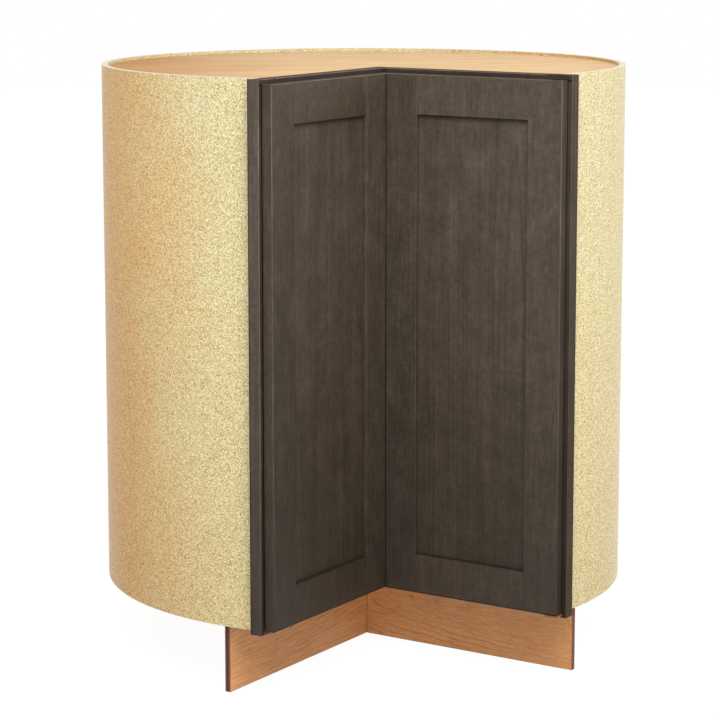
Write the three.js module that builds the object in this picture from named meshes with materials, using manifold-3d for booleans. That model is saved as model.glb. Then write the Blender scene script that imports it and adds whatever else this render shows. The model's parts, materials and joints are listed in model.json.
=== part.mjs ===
// A corner base cabinet: a round barrel body with a square notch at the front, a pair of
// doors that meet in the inside corner and fold as they open, and a two-shelf carousel.
//
// Millimetres, +Z up. Inside this file the carousel turns about x = 0, y = 0. The left
// door faces +X and the right door faces -Y. At the end the whole cabinet is moved so that
// the middle of its footprint stands on the origin.
import * as THREE from 'three';
import { mergeVertices } from 'three/addons/utils/BufferGeometryUtils.js';
import Module from 'manifold-3d';

const wasm = await Module();
wasm.setup();

// ---------------------------------------------------------------- driving dimensions

// Clearances
const SEAT = 0.3; // between two fixed pieces that touch or are glued
const RUNNING = 0.3; // between a turning piece and what carries it

// Body
const CABINET_HEIGHT = 876.3; // floor to the rim
const TOE_HEIGHT = 101.6; // floor to the underside of the barrel
const BARREL_RADIUS = 391.1; // outside of the curved skin
const SKIN_THICKNESS = 9.5;
const PANEL_THICKNESS = 12.7; // top and bottom panels
const TOP_RECESS = 4.8; // rim to the top panel
const ARC_STEPS = 30; // facets in each third of a curved outline

// Face frame
const FRAME_PLANE = 93.5; // carousel axis to the front of each leg of the frame
const STILE_OVERHANG = 13.9; // how far each leg ends outside the barrel
const FRAME_THICKNESS = 19;
const STILE_WIDTH = 38;
const RAIL_HEIGHT = 38;
const RAIL_CORNER_NOTCH = 3; // the gap where the two top rails meet

// Toe kick and base
const TOE_SETBACK = 76.2; // frame face to toe-kick face
const TOE_BOARD_THICKNESS = 9;
const TOE_END_INSET = 6.6; // inside of the skin to the end of each toe board
const RUNNER_INSET = 51.6; // inside of the skin to the far end of each rear runner

// Glue blocks and cleats
const BLOCK_WIDTH = 30;
const BLOCK_HEIGHT = 38;
const CLEAT_DEPTH = 19;
const CLEAT_WIDTH = 12;

// Doors
const DOOR_THICKNESS = 15.9;
const DOOR_REVEAL = 6.35; // frame left showing round the doors
const DOOR_STANDOFF = 1.5; // frame face to door back
const DOOR_SEAM = 0.4; // between the two doors in the corner
const DOOR_STILE_WIDTH = 54; // outer stiles
const CORNER_STILE_FACE = 51; // what shows of each corner stile
const DOOR_RAIL_HEIGHT = 57;
const DOOR_PANEL_THICKNESS = 6;
const DOOR_PANEL_RECESS = 6.2; // door front to panel front
const GROOVE_DEPTH = 9;
const PANEL_END_ROOM = 1; // left at the bottom of each groove
const ARRIS = 1.2; // bevel on the doors' outside edges

// Corner pivots of the right door
const PIVOT_FROM_FACE = 4; // door front to the pivot's axis
const SWING_CLEARANCE = 0.5; // door back corner to the frame, half way through the swing
const PIVOT_PIN_RADIUS = 1.5;
const PIVOT_PIN_LENGTH = 12;
const BUSH_WALL = 0.9;
const BUSH_LENGTH = 14;
const PIVOT_PLATE_THICKNESS = 2.5;
const PIVOT_PLATE_INNER = 14; // pivot axis to the plate's end inside the cabinet
const PIVOT_PLATE_OUTER = 5; // pivot axis to the plate's end outside
const PIVOT_PLATE_NOSE = 3.4; // pivot axis to the plate's front edge
const PIVOT_PLATE_TAIL = 12; // how far the plate is let into the stile
const PIVOT_PLATE_GAP = 0.8; // plate to door edge

// Hinges between the two doors
const FOLD_AXIS_BEHIND = 2.8; // door back to the hinge's axis
const KNUCKLE_RADIUS = 2.4;
const FOLD_PIN_RADIUS = 0.9;
const FOLD_HINGE_HEIGHT = 64;
const KNUCKLE_SHARE = 0.34; // middle knuckle's share of the hinge's height
const LEAF_THICKNESS = 1.6;
const LEFT_LEAF_WIDTH = 24;
const RIGHT_LEAF_WIDTH = 13;
const LEAF_SETBACK = 3.2; // hinge axis to the flat of each leaf
const FOLD_HINGE_INSET = 120; // door end to the middle of each hinge

// Catch, strike and bumpers
const CATCH_LENGTH = 46;
const CATCH_DEPTH = 34;
const CATCH_HEIGHT = 14;
const CATCH_FROM_STILE = 12; // stile's inner edge to the catch
const STRIKE_THICKNESS = 1.2;
const STRIKE_MARGIN = 8; // how much shorter the strike is than the catch, each end
const CATCH_GAP = 0.3;
const BUMPER_RADIUS = 4;
const BUMPER_THICKNESS = 0.9;
const BUMPER_FROM_END = 14; // door end to the middle of a bumper

// Carousel
const SHELF_CLEARANCE = 26; // inside of the skin to the shelves' rims
const SHELF_NOTCH = 66; // carousel axis to the front of each shelf fence
const SHELF_THICKNESS = 12;
const RIM_THICKNESS = 3.2;
const RIM_RISE = 38; // above the shelf
const LOWER_SHELF_LIFT = 52; // bottom panel to the lower shelf's underside
const SHELF_SPACING = 330;
const SHAFT_RADIUS = 12.7;
const SHAFT_WALL = 2.2;
const SHAFT_OVERLAP = 60; // how far the upper tube stands in the lower one
const SHAFT_JOINT_ABOVE = 150; // upper shelf to the top of the lower tube
const UPPER_SHAFT_WALL = 2;
const HUB_FLANGE_RADIUS = 56;
const HUB_FLANGE_THICKNESS = 4;
const HUB_COLLAR_RADIUS = 22;
const HUB_COLLAR_HEIGHT = 30;
const SHELF_BORE_MARGIN = 3; // shaft to the hole in the shelf
const HUB_SCREW_RADIUS = 3;
const HUB_SCREW_FROM_TOP = 10;
const COLLAR_HEIGHT = 14;
const COLLAR_WALL = 9;
const BEARING_FLANGE_RADIUS = 40;
const BEARING_FLANGE_THICKNESS = 3;
const BEARING_PIN_LENGTH = 24;
const THRUST_WASHER_THICKNESS = 2;
const TOP_END_ROOM = 3; // upper tube to the top bearing's flange
const ROUND_STEPS = 32;
const SMALL_ROUND_STEPS = 16;

// ---------------------------------------------------------------- derived places

const frameBack = FRAME_PLANE - FRAME_THICKNESS;
const frameReach = BARREL_RADIUS + STILE_OVERHANG; // carousel axis to the end of each leg
const stileInner = frameReach - STILE_WIDTH;
const barrelInner = BARREL_RADIUS - SKIN_THICKNESS;
const panelNotch = frameBack - SEAT;
const topPanelTop = CABINET_HEIGHT - TOP_RECESS;
const topPanelUnder = topPanelTop - PANEL_THICKNESS;
const bottomPanelTop = TOE_HEIGHT + RAIL_HEIGHT;
const bottomPanelUnder = bottomPanelTop - PANEL_THICKNESS;
const toeFace = FRAME_PLANE - TOE_SETBACK;
const toeBack = toeFace - TOE_BOARD_THICKNESS;
const toeEnd = barrelInner - TOE_END_INSET;
const runnerEnd = barrelInner - RUNNER_INSET;
const baseTop = bottomPanelUnder - SEAT;

const doorBack = FRAME_PLANE + DOOR_STANDOFF;
const doorFront = doorBack + DOOR_THICKNESS;
const doorOuter = frameReach - DOOR_REVEAL;
const doorBottom = TOE_HEIGHT + DOOR_REVEAL;
const doorTop = CABINET_HEIGHT - DOOR_REVEAL;
const panelFront = doorFront - DOOR_PANEL_RECESS;
const panelBack = panelFront - DOOR_PANEL_THICKNESS;

// The pivot stands as far from the door's edge as the swing past the frame allows.
const pivotToBack = DOOR_THICKNESS - PIVOT_FROM_FACE;
const pivotReach = pivotToBack + DOOR_STANDOFF - SWING_CLEARANCE;
const pivotFromEdge = Math.sqrt(pivotReach ** 2 - pivotToBack ** 2);
const pivotAlong = doorOuter - pivotFromEdge;
const pivotDepth = doorFront - PIVOT_FROM_FACE;
const bushInner = PIVOT_PIN_RADIUS + RUNNING;
const bushOuter = bushInner + BUSH_WALL;

const foldAlong = doorFront + DOOR_SEAM / 2;
const foldDepth = doorBack - FOLD_AXIS_BEHIND;

const shelfRadius = barrelInner - SHELF_CLEARANCE;
const lowerShelfUnder = bottomPanelTop + LOWER_SHELF_LIFT;
const upperShelfUnder = lowerShelfUnder + SHELF_SPACING;
const shaftBore = SHAFT_RADIUS - SHAFT_WALL;
const upperShaftRadius = shaftBore - RUNNING;
const upperShaftBore = upperShaftRadius - UPPER_SHAFT_WALL;
const bottomBearingTop = bottomPanelTop + SEAT + BEARING_FLANGE_THICKNESS;
const topBearingUnder = topPanelUnder - SEAT - BEARING_FLANGE_THICKNESS;
const lowerShaftFoot = bottomBearingTop + RUNNING + THRUST_WASHER_THICKNESS + RUNNING;
const lowerShaftTop = upperShelfUnder + SHELF_THICKNESS + SHAFT_JOINT_ABOVE;
const upperShaftTop = topBearingUnder - TOP_END_ROOM;

// ---------------------------------------------------------------- finishes

function finish(color, roughness, metalness = 0) {
  return { color, roughness, metalness };
}

const particleboard = finish(0xcdb98a, 0.8);
const maple = finish(0xe6bd8b, 0.5);
const toeVeneer = finish(0xb9824f, 0.5);
const plywood = finish(0xc9a878, 0.7);
const stain = finish(0x4b4036, 0.55);
const steel = finish(0xb4b6b8, 0.35, 1);
const bronze = finish(0x3a322b, 0.45, 1);
const plastic = finish(0xe8e4da, 0.45);
const darkPlastic = finish(0x2b2724, 0.6);
const feltPad = finish(0x8f8a80, 0.95);

// ---------------------------------------------------------------- solids and cuts

function solidOf(geometry) {
  const bare = geometry.clone();
  bare.deleteAttribute('normal');
  bare.deleteAttribute('uv');
  const merged = mergeVertices(bare);
  return new wasm.Manifold(new wasm.Mesh({
    numProp: 3,
    vertProperties: new Float32Array(merged.attributes.position.array),
    triVerts: new Uint32Array(merged.index.array),
  }));
}

function geometryOf(solid) {
  const mesh = solid.getMesh();
  const geometry = new THREE.BufferGeometry();
  geometry.setAttribute('position', new THREE.BufferAttribute(mesh.vertProperties, 3));
  geometry.setIndex(new THREE.BufferAttribute(mesh.triVerts, 1));
  geometry.computeVertexNormals();
  return geometry;
}

function joined(first, ...rest) {
  return geometryOf(rest.reduce((sum, piece) => sum.add(solidOf(piece)), solidOf(first)));
}

function cut(first, ...tools) {
  return geometryOf(tools.reduce((left, tool) => left.subtract(solidOf(tool)), solidOf(first)));
}

// ---------------------------------------------------------------- basic shapes

function box(x, y, z) {
  const geometry = new THREE.BoxGeometry(x[1] - x[0], y[1] - y[0], z[1] - z[0]);
  geometry.translate((x[0] + x[1]) / 2, (y[0] + y[1]) / 2, (z[0] + z[1]) / 2);
  return geometry;
}

function upright(points, z) {
  const shape = new THREE.Shape(points.map(([x, y]) => new THREE.Vector2(x, y)));
  const geometry = new THREE.ExtrudeGeometry(shape, { depth: z[1] - z[0], bevelEnabled: false });
  geometry.translate(0, 0, z[0]);
  return geometry;
}

// A section drawn in x and z, drawn out along y.
function lying(points, y) {
  const geometry = upright(points, [0, y[1] - y[0]]);
  geometry.rotateX(Math.PI / 2);
  geometry.translate(0, y[1], 0);
  return geometry;
}

function rod(radius, x, y, z, steps = SMALL_ROUND_STEPS) {
  const geometry = new THREE.CylinderGeometry(radius, radius, z[1] - z[0], steps);
  geometry.rotateX(Math.PI / 2);
  geometry.translate(x, y, (z[0] + z[1]) / 2);
  return geometry;
}

// A turned piece about the carousel axis, from [radius, height] points that close on themselves.
function turned(points, steps = ROUND_STEPS) {
  const profile = [...points, points[0]].map(([radius, z]) => new THREE.Vector2(radius, z));
  const geometry = new THREE.LatheGeometry(profile, steps);
  geometry.rotateX(Math.PI / 2);
  return geometry;
}

function tube(inner, outer, z, steps = ROUND_STEPS) {
  return turned([[inner, z[0]], [outer, z[0]], [outer, z[1]], [inner, z[1]]], steps);
}

// The round part of a notched outline, from the right leg round the back to the left leg.
function roundOutline(radius, notch) {
  const start = -Math.asin(notch / radius);
  const stops = [start, Math.PI / 2, Math.PI, 1.5 * Math.PI - start];
  const points = [];
  for (let third = 0; third < 3; third += 1) {
    for (let step = third === 0 ? 0 : 1; step <= ARC_STEPS; step += 1) {
      const angle = stops[third] + ((stops[third + 1] - stops[third]) * step) / ARC_STEPS;
      points.push([radius * Math.cos(angle), radius * Math.sin(angle)]);
    }
  }
  return points;
}

function notchedPanel(radius, notch, z) {
  return upright([...roundOutline(radius, notch), [notch, -notch]], z);
}

function curvedWall(outer, inner, notch, z) {
  return upright([...roundOutline(outer, notch), ...roundOutline(inner, notch).reverse()], z);
}

// ---------------------------------------------------------------- the two legs

// Each leg of the face frame and its door are laid out in the left leg's directions:
// x is the distance forward of the carousel axis, y runs along the leg, and z is up.
// The right leg is the same layout turned a quarter turn, with y running outwards.
const LEFT = { name: 'left', outward: -1, turn: 0 };
const RIGHT = { name: 'right', outward: 1, turn: -Math.PI / 2 };

function span(leg, near, far) {
  return leg.outward > 0 ? [near, far] : [-far, -near];
}

function meshOf(name, geometry, look) {
  const material = new THREE.MeshStandardMaterial(look);
  const mesh = new THREE.Mesh(geometry, material);
  mesh.name = name;
  return mesh;
}

function legMesh(leg, name, geometry, look) {
  const mesh = meshOf(name, geometry, look);
  mesh.rotation.z = leg.turn;
  return mesh;
}

function turnedPoint(leg, depth, along) {
  return leg === LEFT ? [depth, -along] : [along, -depth];
}

// ---------------------------------------------------------------- cabinet body

function bodyShell() {
  const wall = curvedWall(BARREL_RADIUS, barrelInner, panelNotch, [TOE_HEIGHT, CABINET_HEIGHT]);
  const top = notchedPanel(barrelInner - SEAT, panelNotch, [topPanelUnder, topPanelTop]);
  const bottom = notchedPanel(barrelInner - SEAT, panelNotch, [bottomPanelUnder, bottomPanelTop]);
  return [
    meshOf('barrel_skin', wall, particleboard),
    meshOf('top_panel', top, maple),
    meshOf('bottom_panel', bottom, maple),
  ];
}

function pivotPlateSpan(grow = 0) {
  return [pivotAlong - PIVOT_PLATE_INNER - grow, pivotAlong + PIVOT_PLATE_OUTER + grow];
}

function pivotPlateHeights(top) {
  const near = top ? doorTop + PIVOT_PLATE_GAP : doorBottom - PIVOT_PLATE_GAP;
  return top ? [near, near + PIVOT_PLATE_THICKNESS] : [near - PIVOT_PLATE_THICKNESS, near];
}

function stile(leg) {
  const blank = box(
    [frameBack, FRAME_PLANE],
    span(leg, stileInner, frameReach),
    [TOE_HEIGHT, CABINET_HEIGHT],
  );
  if (leg === LEFT) {
    return legMesh(leg, 'left_stile', blank, stain);
  }
  const mortises = [true, false].map((top) => {
    const [low, high] = pivotPlateHeights(top);
    const depth = [FRAME_PLANE - PIVOT_PLATE_TAIL - SEAT, FRAME_PLANE + SEAT];
    return box(depth, pivotPlateSpan(SEAT), [low - SEAT, high + SEAT]);
  });
  return legMesh(leg, 'right_stile', cut(blank, ...mortises), stain);
}

function rail(leg, name, z) {
  const start = leg === LEFT ? frameBack : FRAME_PLANE + RAIL_CORNER_NOTCH;
  const geometry = box([frameBack, FRAME_PLANE], span(leg, start, stileInner - SEAT), z);
  return legMesh(leg, `${name}_rail_${leg.name}`, geometry, stain);
}

function faceFrame() {
  return [LEFT, RIGHT].flatMap((leg) => [
    stile(leg),
    rail(leg, 'top', [CABINET_HEIGHT - RAIL_HEIGHT, CABINET_HEIGHT]),
    rail(leg, 'bottom', [TOE_HEIGHT, TOE_HEIGHT + RAIL_HEIGHT]),
  ]);
}

// The toe boards and the two runners behind them make a cross under the bottom panel.
function base() {
  const leftBoard = box([toeBack, toeFace], span(LEFT, toeBack, toeEnd), [0, baseTop]);
  const rightBoard = box([toeBack, toeFace], span(RIGHT, toeFace + SEAT, toeEnd), [0, baseTop]);
  const backRunner = box([toeBack, toeFace], [-toeBack + SEAT, runnerEnd], [0, baseTop]);
  const sideRunner = box([toeBack, toeFace], [-runnerEnd, toeBack - SEAT], [0, baseTop]);
  return [
    legMesh(LEFT, 'toe_kick_left', leftBoard, toeVeneer),
    legMesh(RIGHT, 'toe_kick_right', rightBoard, toeVeneer),
    legMesh(LEFT, 'rear_runner_back', backRunner, plywood),
    legMesh(RIGHT, 'rear_runner_side', sideRunner, plywood),
  ];
}

// Glue blocks behind the inside corner, and cleats where the skin meets the stiles.
function blocks() {
  const behind = [panelNotch - BLOCK_WIDTH, panelNotch];
  const blockSpan = [-panelNotch, BLOCK_WIDTH - panelNotch];
  const topBlock = box(behind, blockSpan, [topPanelUnder - SEAT - BLOCK_HEIGHT, topPanelUnder - SEAT]);
  const bottomBlock = box(behind, blockSpan, [TOE_HEIGHT, baseTop]);
  const cleatReach = Math.sqrt((barrelInner - SEAT) ** 2 - panelNotch ** 2);
  const cleats = [LEFT, RIGHT].map((leg) => {
    const geometry = box(
      [panelNotch - CLEAT_DEPTH, panelNotch],
      span(leg, cleatReach - SEAT - CLEAT_WIDTH, cleatReach - SEAT),
      [bottomPanelTop + SEAT, topPanelUnder - SEAT],
    );
    return legMesh(leg, `${leg.name}_skin_cleat`, geometry, plywood);
  });
  return [
    legMesh(LEFT, 'top_corner_block', topBlock, plywood),
    legMesh(LEFT, 'bottom_corner_block', bottomBlock, plywood),
    ...cleats,
  ];
}

// A plate let into the right stile, with a pin that stands in the door's bush.
function pivotPlate(top) {
  const heights = pivotPlateHeights(top);
  const depth = [FRAME_PLANE - PIVOT_PLATE_TAIL, pivotDepth + PIVOT_PLATE_NOSE];
  const plate = box(depth, pivotPlateSpan(), heights);
  const pinHeights = top
    ? [heights[0] - PIVOT_PIN_LENGTH, heights[1]]
    : [heights[0], heights[1] + PIVOT_PIN_LENGTH];
  const pin = rod(PIVOT_PIN_RADIUS, pivotDepth, pivotAlong, pinHeights);
  return legMesh(RIGHT, `${top ? 'top' : 'bottom'}_pivot_plate`, joined(plate, pin), bronze);
}

function catchSpan(margin = 0) {
  const far = stileInner - CATCH_FROM_STILE;
  return span(LEFT, far - CATCH_LENGTH + margin, far - margin);
}

function catchHeights() {
  const top = CABINET_HEIGHT - RAIL_HEIGHT - SEAT;
  return [top - CATCH_HEIGHT, top];
}

const strikeBack = doorBack - SEAT - STRIKE_THICKNESS;

function magnetCatch() {
  const front = strikeBack - CATCH_GAP;
  const geometry = box([front - CATCH_DEPTH, front], catchSpan(), catchHeights());
  return legMesh(LEFT, 'magnet_catch', geometry, darkPlastic);
}

function carouselBearings() {
  const pinRadius = shaftBore - RUNNING;
  const foot = bottomPanelTop + SEAT;
  const bottom = turned([
    [0, foot],
    [BEARING_FLANGE_RADIUS, foot],
    [BEARING_FLANGE_RADIUS, bottomBearingTop],
    [pinRadius, bottomBearingTop],
    [pinRadius, bottomBearingTop + BEARING_PIN_LENGTH],
    [0, bottomBearingTop + BEARING_PIN_LENGTH],
  ]);
  const topPin = upperShaftBore - RUNNING;
  const head = topPanelUnder - SEAT;
  const top = turned([
    [0, topBearingUnder - BEARING_PIN_LENGTH],
    [topPin, topBearingUnder - BEARING_PIN_LENGTH],
    [topPin, topBearingUnder],
    [BEARING_FLANGE_RADIUS, topBearingUnder],
    [BEARING_FLANGE_RADIUS, head],
    [0, head],
  ]);
  const washer = tube(
    shaftBore,
    SHAFT_RADIUS + SHELF_BORE_MARGIN,
    [bottomBearingTop + RUNNING, bottomBearingTop + RUNNING + THRUST_WASHER_THICKNESS],
  );
  return [
    meshOf('bottom_bearing', bottom, steel),
    meshOf('top_bearing', top, steel),
    meshOf('thrust_washer', washer, plastic),
  ];
}

// ---------------------------------------------------------------- doors

// What each door covers along its leg, and how wide its two stiles are.
function doorLayout(leg) {
  const near = leg === LEFT ? doorFront + DOOR_SEAM : doorBack;
  const cornerEdge = doorFront + DOOR_SEAM + CORNER_STILE_FACE;
  return { near, cornerEdge, outerEdge: doorOuter - DOOR_STILE_WIDTH, far: doorOuter };
}

// The door stile's section: a groove for the panel on one side, a bevel on the other.
function stileSection(leg, grooveEdge, plainEdge, bevelled) {
  const inward = Math.sign(plainEdge - grooveEdge);
  const grooveEnd = grooveEdge + inward * GROOVE_DEPTH;
  const bevel = bevelled ? ARRIS : 0;
  const outline = [
    [doorBack, grooveEdge],
    [panelBack - SEAT, grooveEdge],
    [panelBack - SEAT, grooveEnd],
    [panelFront + SEAT, grooveEnd],
    [panelFront + SEAT, grooveEdge],
    [doorFront, grooveEdge],
    [doorFront, plainEdge - inward * bevel],
    ...(bevelled ? [[doorFront - bevel, plainEdge]] : []),
    [doorBack, plainEdge],
  ];
  return outline.map(([x, along]) => [x, leg.outward * along]);
}

function bushHeights(top) {
  return top ? [doorTop - BUSH_LENGTH, doorTop] : [doorBottom, doorBottom + BUSH_LENGTH];
}

function doorStiles(leg) {
  const { near, cornerEdge, outerEdge, far } = doorLayout(leg);
  const heights = [doorBottom, doorTop];
  const corner = upright(stileSection(leg, cornerEdge, near, false), heights);
  const outer = upright(stileSection(leg, outerEdge, far, true), heights);
  const bores = [true, false].map((top) => {
    const [low, high] = bushHeights(top);
    return rod(bushOuter + SEAT, pivotDepth, leg.outward * pivotAlong, [low - SEAT, high + SEAT]);
  });
  return [
    legMesh(leg, `${leg.name}_door_corner_stile`, corner, stain),
    legMesh(leg, `${leg.name}_door_outer_stile`, leg === RIGHT ? cut(outer, ...bores) : outer, stain),
  ];
}

// A door rail has the panel's groove along one edge and a stub tenon at each end.
function doorRail(leg, name, z, grooveUp) {
  const { cornerEdge, outerEdge } = doorLayout(leg);
  const [grooveEdge, plainEdge] = grooveUp ? [z[1], z[0]] : [z[0], z[1]];
  const inward = Math.sign(plainEdge - grooveEdge);
  const grooveEnd = grooveEdge + inward * GROOVE_DEPTH;
  const body = lying([
    [doorBack, grooveEdge],
    [panelBack - SEAT, grooveEdge],
    [panelBack - SEAT, grooveEnd],
    [panelFront + SEAT, grooveEnd],
    [panelFront + SEAT, grooveEdge],
    [doorFront, grooveEdge],
    [doorFront, plainEdge - inward * ARRIS],
    [doorFront - ARRIS, plainEdge],
    [doorBack, plainEdge],
  ], span(leg, cornerEdge + SEAT, outerEdge - SEAT));
  const tenonReach = GROOVE_DEPTH - PANEL_END_ROOM;
  const tenonHeights = [grooveEnd, plainEdge].sort((a, b) => a - b);
  const tenon = box(
    [panelBack, panelFront],
    span(leg, cornerEdge - tenonReach, outerEdge + tenonReach),
    tenonHeights,
  );
  return legMesh(leg, `${leg.name}_door_${name}_rail`, joined(body, tenon), stain);
}

function doorPanel(leg) {
  const { cornerEdge, outerEdge } = doorLayout(leg);
  const reach = GROOVE_DEPTH - PANEL_END_ROOM;
  const geometry = box(
    [panelBack, panelFront],
    span(leg, cornerEdge - reach, outerEdge + reach),
    [doorBottom + DOOR_RAIL_HEIGHT - reach, doorTop - DOOR_RAIL_HEIGHT + reach],
  );
  return legMesh(leg, `${leg.name}_door_panel`, geometry, stain);
}

function doorWoodwork(leg) {
  return [
    ...doorStiles(leg),
    doorRail(leg, 'top', [doorTop - DOOR_RAIL_HEIGHT, doorTop], false),
    doorRail(leg, 'bottom', [doorBottom, doorBottom + DOOR_RAIL_HEIGHT], true),
    doorPanel(leg),
  ];
}

function pivotBush(top) {
  const bush = tube(bushInner, bushOuter, bushHeights(top), SMALL_ROUND_STEPS);
  bush.translate(pivotDepth, pivotAlong, 0);
  return legMesh(RIGHT, `${top ? 'top' : 'bottom'}_pivot_bush`, bush, bronze);
}

// Knuckle lengths of one fold hinge: the left door's leaf has the two end knuckles.
function knuckleHeights(middle) {
  const half = FOLD_HINGE_HEIGHT / 2;
  const inner = (FOLD_HINGE_HEIGHT * KNUCKLE_SHARE) / 2;
  return {
    ends: [[middle - half, middle - inner - RUNNING], [middle + inner + RUNNING, middle + half]],
    centre: [[middle - inner, middle + inner]],
  };
}

// One leaf in the left leg's directions; side is -1 for the left door, 1 for the right.
function foldLeaf(middle, side, width, knuckles) {
  const half = FOLD_HINGE_HEIGHT / 2;
  const flat = [doorBack - SEAT - LEAF_THICKNESS, doorBack - SEAT];
  const ordered = (a, b) => [Math.min(a, b), Math.max(a, b)];
  const along = (distance) => -foldAlong + side * distance;
  const plate = box(flat, ordered(along(LEAF_SETBACK), along(width)), [middle - half, middle + half]);
  const webReach = [KNUCKLE_RADIUS - LEAF_THICKNESS / 2, LEAF_SETBACK + SEAT];
  const webs = knuckles.map((z) => box(flat, ordered(along(webReach[0]), along(webReach[1])), z));
  const barrels = knuckles.map((z) => rod(KNUCKLE_RADIUS, foldDepth, -foldAlong, z));
  const boreHeights = [middle - half - SEAT, middle + half + SEAT];
  const bore = rod(FOLD_PIN_RADIUS + RUNNING, foldDepth, -foldAlong, boreHeights);
  return cut(joined(plate, ...webs, ...barrels), bore);
}

const foldHingeMiddles = {
  upper: doorTop - FOLD_HINGE_INSET,
  lower: doorBottom + FOLD_HINGE_INSET,
};

function foldHinge(place) {
  const middle = foldHingeMiddles[place];
  const heights = knuckleHeights(middle);
  const half = FOLD_HINGE_HEIGHT / 2;
  const left = foldLeaf(middle, -1, LEFT_LEAF_WIDTH, heights.ends);
  const right = foldLeaf(middle, 1, RIGHT_LEAF_WIDTH, heights.centre);
  const pin = rod(FOLD_PIN_RADIUS, foldDepth, -foldAlong, [middle - half, middle + half]);
  return {
    leftLeaf: legMesh(LEFT, `${place}_fold_hinge_left_leaf`, left, bronze),
    rightLeaf: legMesh(LEFT, `${place}_fold_hinge_right_leaf`, right, bronze),
    pin: legMesh(LEFT, `${place}_fold_hinge_pin`, pin, steel),
  };
}

function strikePlate() {
  const geometry = box([strikeBack, doorBack - SEAT], catchSpan(STRIKE_MARGIN), catchHeights());
  return legMesh(LEFT, 'strike_plate', geometry, steel);
}

function bumper(top) {
  const z = top ? doorTop - BUMPER_FROM_END : doorBottom + BUMPER_FROM_END;
  const thickness = Math.min(BUMPER_THICKNESS, DOOR_STANDOFF - 2 * SEAT);
  const geometry = new THREE.CylinderGeometry(BUMPER_RADIUS, BUMPER_RADIUS, thickness, SMALL_ROUND_STEPS);
  geometry.rotateZ(Math.PI / 2);
  geometry.translate(doorBack - SEAT - thickness / 2, -doorOuter + BUMPER_FROM_END, z);
  return legMesh(LEFT, `${top ? 'top' : 'bottom'}_bumper`, geometry, feltPad);
}

// ---------------------------------------------------------------- carousel

function carouselShaft() {
  const lower = tube(shaftBore, SHAFT_RADIUS, [lowerShaftFoot, lowerShaftTop]);
  const upper = tube(upperShaftBore, upperShaftRadius, [lowerShaftTop - SHAFT_OVERLAP, upperShaftTop]);
  const collarFoot = lowerShaftTop + SEAT;
  const collar = tube(
    upperShaftRadius + SEAT,
    upperShaftRadius + SEAT + COLLAR_WALL,
    [collarFoot, collarFoot + COLLAR_HEIGHT],
  );
  return [
    meshOf('lower_shaft', lower, steel),
    meshOf('upper_shaft', upper, steel),
    meshOf('height_collar', collar, steel),
  ];
}

function shelf(name, under) {
  const top = under + SHELF_THICKNESS;
  const inside = shelfRadius - RIM_THICKNESS;
  const fenceBack = SHELF_NOTCH - RIM_THICKNESS;
  const rimHeights = [under, top + RIM_RISE];
  const boreRadius = SHAFT_RADIUS + SHELF_BORE_MARGIN;
  const floor = cut(
    notchedPanel(inside - SEAT, fenceBack - SEAT, [under, top]),
    rod(boreRadius, 0, 0, [under - 1, top + 1], ROUND_STEPS),
  );
  const rim = curvedWall(shelfRadius, inside, SHELF_NOTCH, rimHeights);
  const fenceEnd = Math.sqrt((inside - SEAT) ** 2 - SHELF_NOTCH ** 2) - SEAT;
  const leftFence = box([fenceBack, SHELF_NOTCH], span(LEFT, SHELF_NOTCH + SEAT, fenceEnd), rimHeights);
  const rightFence = box([fenceBack, SHELF_NOTCH], span(RIGHT, fenceBack, fenceEnd), rimHeights);
  return [
    meshOf(`${name}_shelf`, floor, maple),
    meshOf(`${name}_shelf_rim`, rim, maple),
    legMesh(LEFT, `${name}_shelf_left_fence`, leftFence, maple),
    legMesh(RIGHT, `${name}_shelf_right_fence`, rightFence, maple),
    ...hub(name, top + SEAT),
  ];
}

// A flanged hub that clamps the shelf to the shaft with one screw.
function hub(name, foot) {
  const bore = SHAFT_RADIUS + SEAT;
  const flangeTop = foot + HUB_FLANGE_THICKNESS;
  const collarTop = flangeTop + HUB_COLLAR_HEIGHT;
  const blank = turned([
    [bore, foot],
    [HUB_FLANGE_RADIUS, foot],
    [HUB_FLANGE_RADIUS, flangeTop],
    [HUB_COLLAR_RADIUS, flangeTop],
    [HUB_COLLAR_RADIUS, collarTop],
    [bore, collarTop],
  ]);
  const screwHeight = collarTop - HUB_SCREW_FROM_TOP;
  const crosswise = (radius, from, to) => {
    const geometry = new THREE.CylinderGeometry(radius, radius, to - from, SMALL_ROUND_STEPS);
    geometry.translate(0, (from + to) / 2, screwHeight);
    return geometry;
  };
  const body = cut(blank, crosswise(HUB_SCREW_RADIUS + SEAT, 0, HUB_COLLAR_RADIUS + 1));
  const screw = crosswise(HUB_SCREW_RADIUS, bore, HUB_COLLAR_RADIUS + 1);
  return [
    meshOf(`${name}_hub`, body, plastic),
    meshOf(`${name}_hub_screw`, screw, steel),
  ];
}

// ---------------------------------------------------------------- assembly

function assembly(name, parent, place, pieces) {
  const group = new THREE.Group();
  group.name = name;
  parent.add(group);
  group.position.set(place[0], place[1], 0).sub(parent.userData.place ?? new THREE.Vector3());
  group.userData.place = new THREE.Vector3(place[0], place[1], 0);
  for (const piece of pieces) {
    piece.position.sub(group.userData.place);
    group.add(piece);
  }
  return group;
}

const foldHinges = Object.keys(foldHingeMiddles).map(foldHinge);
const group = new THREE.Group();

assembly('cabinet', group, [0, 0], [
  ...bodyShell(),
  ...faceFrame(),
  ...base(),
  ...blocks(),
  pivotPlate(true),
  pivotPlate(false),
  magnetCatch(),
  ...carouselBearings(),
]);

const rightDoor = assembly('right_door', group, turnedPoint(RIGHT, pivotDepth, pivotAlong), [
  ...doorWoodwork(RIGHT),
  pivotBush(true),
  pivotBush(false),
  ...foldHinges.flatMap((hinge) => [hinge.rightLeaf, hinge.pin]),
]);

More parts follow.
